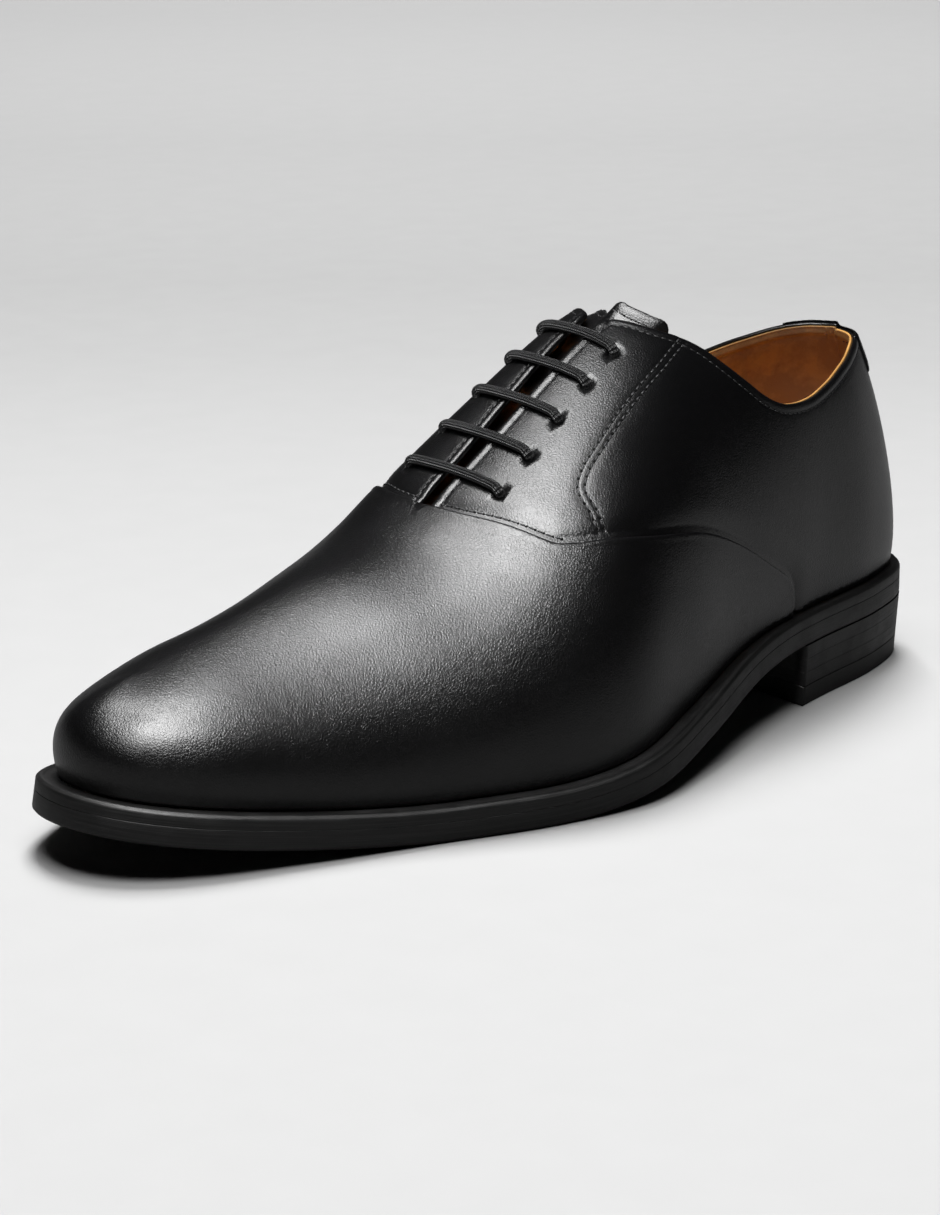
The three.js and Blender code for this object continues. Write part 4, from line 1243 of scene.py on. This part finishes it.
lace = tube("lace_cord", route, lace_radius, waxed)
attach(lace, "shoe")
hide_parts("lace")

# ---------------------------------------------------------------- stitches
# Black linen thread, sunk a little into the leather, with a near-black disc at each end: painted
# shade that stands in for the needle hole. One Geometry Nodes tree lays a stitch and its painted
# hole shade on every point of a row.
thread, tree, shader, place = finish("black_thread", (0.010, 0.010, 0.011), 0.55, 0.4)
twist = node(tree, "ShaderNodeTexNoise", {"Vector": place, "Scale": 2500.0, "Detail": 1.0})
dye(tree, shader, twist.outputs["Fac"], (0.006, 0.006, 0.007), (0.022, 0.022, 0.024))
bump(tree, shader, twist.outputs["Fac"], 0.4, 0.0001)
# needle holes: a near-black matt finish with faint noise, painted shade on small discs where a hole would be
# dark
hole_painted_shade, tree, shader, place = finish("needle_hole_painted_shade", (0.002, 0.002, 0.002), 0.95, 0.1)
hole_shade_noise = node(tree, "ShaderNodeTexNoise", {"Vector": place, "Scale": 900.0})
dye(tree, shader, hole_shade_noise.outputs["Fac"], (0.0015, 0.0015, 0.0015), (0.003, 0.003, 0.003))


def stitch_tree():
    """The Geometry Nodes tree of a stitch row, with its sizes in metres as inputs."""
    tree = bpy.data.node_groups.new("stitch_row", "GeometryNodeTree")
    tree.interface.new_socket(name="Geometry", in_out="INPUT", socket_type="NodeSocketGeometry")
    for label, value in (("Stitch length", 0.0021), ("Thread radius", 0.0003), ("Hole radius", 0.0004)):
        socket = tree.interface.new_socket(name=label, in_out="INPUT", socket_type="NodeSocketFloat")
        socket.default_value = value
    tree.interface.new_socket(name="Geometry", in_out="OUTPUT", socket_type="NodeSocketGeometry")
    start, end = tree.nodes.new("NodeGroupInput"), tree.nodes.new("NodeGroupOutput")

    def make(kind, **properties):
        made = tree.nodes.new(kind)
        for key, value in properties.items():
            setattr(made, key, value)
        return made

    def attribute(name):
        made = make("GeometryNodeInputNamedAttribute", data_type="FLOAT_VECTOR")
        made.inputs["Name"].default_value = name
        return made.outputs["Attribute"]

    link = tree.links.new
    points = make("GeometryNodeMeshToPoints")
    link(start.outputs["Geometry"], points.inputs["Mesh"])
    first = make("FunctionNodeAlignEulerToVector", axis="X")
    link(attribute("along"), first.inputs["Vector"])
    second = make("FunctionNodeAlignEulerToVector", axis="Z", pivot_axis="X")
    link(first.outputs[0], second.inputs["Rotation"])
    link(attribute("outward"), second.inputs["Vector"])

    def scaled(length, factor):
        made = make("ShaderNodeMath", operation="MULTIPLY")
        link(length, made.inputs[0])
        made.inputs[1].default_value = factor
        return made.outputs[0]

    def ball(rings, sizes, material, along=None):
        """A ball of given half sizes on every point, made real and given its material."""
        sphere = make("GeometryNodeMeshUVSphere")
        sphere.inputs["Segments"].default_value = 8
        sphere.inputs["Rings"].default_value = rings
        sphere.inputs["Radius"].default_value = 1.0
        shaped = make("GeometryNodeTransform")
        size = make("ShaderNodeCombineXYZ")
        for axis, value in enumerate(sizes):
            link(value, size.inputs[axis])
        link(sphere.outputs["Mesh"], shaped.inputs["Geometry"])
        link(size.outputs[0], shaped.inputs["Scale"])
        if along:
            shift = make("ShaderNodeCombineXYZ")
            link(along, shift.inputs[0])
            link(shift.outputs[0], shaped.inputs["Translation"])
        laid = make("GeometryNodeInstanceOnPoints")
        link(points.outputs[0], laid.inputs["Points"])
        link(shaped.outputs[0], laid.inputs["Instance"])
        link(second.outputs[0], laid.inputs["Rotation"])
        real = make("GeometryNodeRealizeInstances")
        link(laid.outputs[0], real.inputs[0])
        smooth = make("GeometryNodeSetShadeSmooth")
        link(real.outputs[0], smooth.inputs[0])
        finished = make("GeometryNodeSetMaterial")
        finished.inputs["Material"].default_value = material
        link(smooth.outputs[0], finished.inputs["Geometry"])
        return finished.outputs[0]

    length, thick, pit = (start.outputs[k] for k in ("Stitch length", "Thread radius", "Hole radius"))
    stitches = ball(6, (scaled(length, 0.5), thick, thick), thread)
    # flattened dark discs at each stitch end: painted shade standing in for the needle holes
    painted_hole_shade = ball(4, (pit, pit, scaled(pit, 0.45)), hole_painted_shade, along=scaled(length, 0.64))
    both = make("GeometryNodeJoinGeometry")
    link(stitches, both.inputs[0])
    link(painted_hole_shade, both.inputs[0])
    link(both.outputs[0], end.inputs["Geometry"])
    return tree


stitching = stitch_tree()


def stitch_row(name, line, height, pitch, body="shoe", radius=0.3, hole=0.4, inward=False):
    """A row of stitches along a chart line, at a height over the last."""
    places = spaced(line, pitch)
    points, normal = on_chart(places), slopes(places)[2]
    h = height(points) if callable(height) else np.full(len(points), height)
    centres = points + normal * h[:, None]
    along = unit(np.gradient(centres, axis=0))
    outward = -normal if inward else normal
    mesh = bpy.data.meshes.new(name + "_points")
    mesh.from_pydata([tuple(p) for p in to_world(centres)], [], [])
    for label, values in (("along", along), ("outward", outward)):
        data = mesh.attributes.new(label, "FLOAT_VECTOR", "POINT")
        data.data.foreach_set("vector", values.ravel())
    source = bpy.data.objects.new(name + "_points", mesh)
    bpy.context.scene.collection.objects.link(source)
    modifier = source.modifiers.new("stitches", "NODES")
    modifier.node_group = stitching
    inputs = {s.name: s.identifier for s in stitching.interface.items_tree if s.in_out == "INPUT"}
    modifier[inputs["Stitch length"]] = pitch * 0.72 / 1000
    modifier[inputs["Thread radius"]] = radius / 1000
    modifier[inputs["Hole radius"]] = hole / 1000
    evaluated = source.evaluated_get(bpy.context.evaluated_depsgraph_get())
    made = bpy.data.meshes.new_from_object(evaluated)
    made.name = name
    row = bpy.data.objects.new(name, made)
    bpy.context.scene.collection.objects.link(row)
    bpy.data.objects.remove(source)
    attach(row, body)
    return row


def part_of(line, low, high):
    """A chart line between two shares of its length."""
    even = spaced(line, 0.5)
    return even[int(low * len(even)):int(high * len(even))]


for side, name in ((1, "lateral"), (-1, "medial")):
    surface_height = quarter_height[side]
    for n, line in enumerate(double_stitch[side]):
        stitch_row(f"stitches_double_{name}_{n + 1}", part_of(line, 0.02, 0.97),
                   surface_height, 2.6, radius=0.34, hole=0.5)
    stitch_row(f"stitches_facing_{name}", part_of(beside(facing_edge[side], side * 2.7), 0.03, 0.97),
               surface_height, 2.3, radius=0.3, hole=0.36)
    stitch_row(f"stitches_topline_{name}", part_of(beside(top_edge[side], side * 2.8), 0.03, 0.9),
               surface_height, 2.2, radius=0.26, hole=0.3)
    stitch_row(f"stitches_vamp_{name}", part_of(beside(seam[side], -side * 2.0), 0.03, 0.26),
               surface_height, 2.5, radius=0.34, hole=0.45)
    stitch_row(f"stitches_lining_{name}", part_of(beside(top_edge[side], side * 2.9), 0.2, 0.97),
               -2.3, 2.6, radius=0.3, hole=0.32, inward=True)
for name, edge, inset in (("lateral", tongue_lateral, 2.7), ("medial", tongue_medial, -2.7)):
    stitch_row(f"stitches_tongue_{name}", part_of(beside(edge, inset), 0.02, 0.3), tongue_top, 2.3, "tongue")

# ---------------------------------------------------------------- hidden pieces
# Cork filler, shank, insole, stiffeners, forepart lining, eyelets, nails and lace tips keep
# their solids; each gets the finish of its own stuff.
cork, tree, shader, place = finish("cork", (0.42, 0.29, 0.17), 0.9, 0.2)
crumbs = node(tree, "ShaderNodeTexVoronoi", {"Vector": place, "Scale": 420.0})
dye(tree, shader, crumbs.outputs["Distance"], (0.5, 0.35, 0.2), (0.22, 0.13, 0.07))
bump(tree, shader, crumbs.outputs["Distance"], 0.5, 0.0004)
steel, tree, shader, place = finish("plain_steel", (0.56, 0.57, 0.59), 0.34, 0.5, metallic=1.0)
drawn = use(tree, hairs, {"Position": place, "Stretch": (0.1, 1, 1), "Scale": 2.0, "Sparseness": 0.45})
tree.links.new(spread(tree, drawn["Mask"], 0.28, 0.42), shader.inputs["Roughness"])
veg, tree, shader, place = finish("veg_leather", (0.55, 0.38, 0.23), 0.75, 0.3)
fibre = use(tree, grain, {"Position": place, "Pebble size mm": 1.0, "Crease depth": 0.8, "Patchiness": 0.3})
dye(tree, shader, fibre["Patch"], (0.6, 0.42, 0.26), (0.48, 0.32, 0.19))
bump(tree, shader, fibre["Height"], 0.3, 0.0002)
canvas, tree, shader, place = finish("cotton_canvas", (0.6, 0.56, 0.46), 0.9, 0.2)
weave_x = node(tree, "ShaderNodeTexWave", {"Vector": place, "Scale": 260.0}, bands_direction="X")
weave_y = node(tree, "ShaderNodeTexWave", {"Vector": place, "Scale": 260.0}, bands_direction="Y")
weave = maths(tree, "MULTIPLY", weave_x.outputs["Fac"], weave_y.outputs["Fac"])
dye(tree, shader, weave, (0.5, 0.46, 0.37), (0.66, 0.62, 0.52))
bump(tree, shader, weave, 0.4, 0.0002)

stuff = {"cork_filler": cork, "insole": veg, "heel_counter": veg, "toe_puff": canvas, "vamp_lining": canvas}
for name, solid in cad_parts.items():
    if name.startswith(("eyelet_", "heel_nail_", "aglet_")) or name == "shank":
        chosen = steel
    elif name in stuff:
        chosen = stuff[name]
    else:
        continue
    solid.data.materials.clear()
    solid.data.materials.append(chosen)

# ---------------------------------------------------------------- floor, lights, camera
# A pale seamless paper sweep, its shade painted darker and lighter with distance behind the
# shoe to stand in for the fall-off of light. Two soft fills, one overhead and one behind, light
# everything evenly; a low bank of three softboxes gives the leather its highlights. A long
# lens looks at the shoe from three-quarters in front of its outer side.
paper, tree, shader, place = finish("pale_paper", (0.6, 0.6, 0.6), 0.9, 0.0)
fibres = node(tree, "ShaderNodeTexNoise", {"Vector": place, "Scale": 60.0, "Detail": 3.0})
behind = node(tree, "ShaderNodeVectorMath", {0: place, 1: (-0.668, -0.744, 0.0)}, operation="DOT_PRODUCT")
# metres behind the shoe, and the paper's painted shade there, darker and lighter to stand in for the fall-off
# of light
painted_falloff_shades = [
    (-1.0, 0.6), (-0.3, 0.58), (0.0, 0.53), (0.3, 0.445), (0.5, 0.38), (0.64, 0.36), (1.0, 0.41), (1.5, 0.57),
    (2.0, 0.8),
]
nearest, farthest = painted_falloff_shades[0][0], painted_falloff_shades[-1][0]
share_behind = node(tree, "ShaderNodeMapRange", {
    "Value": behind.outputs["Value"], "From Min": nearest, "From Max": farthest})
painted_falloff = node(tree, "ShaderNodeValToRGB", {"Fac": share_behind.outputs[0]})
for distance_behind, _shade in painted_falloff_shades[1:-1]:
    painted_falloff.color_ramp.elements.new((distance_behind - nearest) / (farthest - nearest))
for mark, (_distance, shade) in zip(painted_falloff.color_ramp.elements, painted_falloff_shades):
    mark.color = (shade, shade, shade, 1)
speck = node(tree, "ShaderNodeMix", {"Factor": 0.02}, data_type="RGBA")
tree.links.new(painted_falloff.outputs["Color"], speck.inputs["A"])
tree.links.new(fibres.outputs["Fac"], speck.inputs["B"])
tree.links.new(speck.outputs["Result"], shader.inputs["Base Color"])
# glossy rays see the paper in dark grey, so its reflection in the polished leather is painted darker than the
# paper is
reflection_painted_dark = node(tree, "ShaderNodeBsdfDiffuse", {"Color": (0.2, 0.2, 0.2, 1)})
seen_by = node(tree, "ShaderNodeLightPath")
either = node(tree, "ShaderNodeMixShader", {
    0: seen_by.outputs["Is Glossy Ray"], 1: shader.outputs[0], 2: reflection_painted_dark.outputs[0]})
tree.links.new(either.outputs[0], tree.nodes["Material Output"].inputs["Surface"])

view_turn, view_lift, view_roll = (math.radians(angle) for angle in (48.11, 16.59, -0.37))
view_distance = 1.03464
view_target = Vector((166.31, -0.41, 41.69)) / 1000 + Vector(last_shift) / 1000
level = math.cos(view_lift)
view_back = Vector((math.cos(view_turn) * level, math.sin(view_turn) * level, math.sin(view_lift)))
camera = bpy.data.objects.new("camera", bpy.data.cameras.new("camera"))
bpy.context.scene.collection.objects.link(camera)
camera.location = view_target + view_back * view_distance
turned = view_back.to_track_quat("Z", "Y")
camera.rotation_mode = "QUATERNION"
camera.rotation_quaternion = turned @ Quaternion((0, 0, 1), view_roll)
camera.data.sensor_width = 36
camera.data.lens = 112.2317
camera.data.clip_end = 50
bpy.context.scene.camera = camera

# the paper runs level behind the shoe, turns up through a quarter round and stands
sweep_half_width = 6.0
sweep_front, sweep_turn, sweep_radius, sweep_top = -4.0, 2.4, 1.2, 4.0
round_steps = 24
sweep_points, sweep_faces = [], []
facing_away = Vector((-view_back.x, -view_back.y, 0)).normalized()
sideways = Vector((-facing_away.y, facing_away.x, 0))
profile = [(sweep_front, 0.0), (sweep_turn, 0.0)]
for k in range(1, round_steps + 1):
    angle = math.pi / 2 * k / round_steps
    profile.append((sweep_turn + sweep_radius * math.sin(angle), sweep_radius * (1 - math.cos(angle))))
profile.append((sweep_turn + sweep_radius, sweep_top))
for away, height in profile:
    for across in (-sweep_half_width, sweep_half_width):
        sweep_points.append(facing_away * away + sideways * across + Vector((0, 0, height)))
for k in range(len(profile) - 1):
    sweep_faces.append((2 * k, 2 * k + 1, 2 * k + 3, 2 * k + 2)[::-1])
sweep_mesh = bpy.data.meshes.new("paper_sweep")
sweep_mesh.from_pydata([tuple(p) for p in sweep_points], [], sweep_faces)
sweep_mesh.materials.append(paper)
sweep_mesh.polygons.foreach_set("use_smooth", [True] * len(sweep_mesh.polygons))
sweep = bpy.data.objects.new("paper_sweep", sweep_mesh)
bpy.context.scene.collection.objects.link(sweep)
sweep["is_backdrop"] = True


def soft_light(name, place, target, wide, deep, power):
    """A rectangular softbox at a place, aimed at a target."""
    data = bpy.data.lights.new(name, "AREA")
    data.energy = power
    data.shape = "RECTANGLE"
    data.size, data.size_y = wide, deep
    lamp = bpy.data.objects.new(name, data)
    bpy.context.scene.collection.objects.link(lamp)
    lamp.location = place
    lamp.visible_camera = False
    lamp.rotation_mode = "QUATERNION"
    lamp.rotation_quaternion = (Vector(place) - Vector(target)).to_track_quat("Z", "Y")
    return lamp


ceiling = soft_light("ceiling_fill", (0.1, 0.1, 2.4), (0.1, 0.1, 0), 1.4, 1.4, 38)
ceiling.visible_glossy = False
rear = soft_light("rear_fill", (-0.49, -0.57, 1.85), (0.01, 0.0, 0), 0.6, 0.6, 45)
rear.visible_glossy = False
# three panels of one bank of softboxes: strongest over the toe, fading forward
bank_height = 0.45
bank = [
    ("bank_toe", 0.2, 0.15, 0.18, 0.32, 5.4), ("bank_instep", 0.08, -0.05, 0.1, 0.3, 2.0),
    ("bank_front", 0.41, 0.24, 0.225, 0.32, 2.2),
]
for name, x, y, wide, deep, power in bank:
    softbox = soft_light(name, (x, y, bank_height), (x, y, 0), wide, deep, power)
    softbox.visible_diffuse = False
world = bpy.data.worlds.new("studio")
world.use_nodes = True
world.node_tree.nodes["Background"].inputs[0].default_value = (1, 1, 1, 1)
world.node_tree.nodes["Background"].inputs[1].default_value = 0.0
bpy.context.scene.world = world
bpy.context.scene.view_settings.view_transform = "Standard"

low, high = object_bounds()
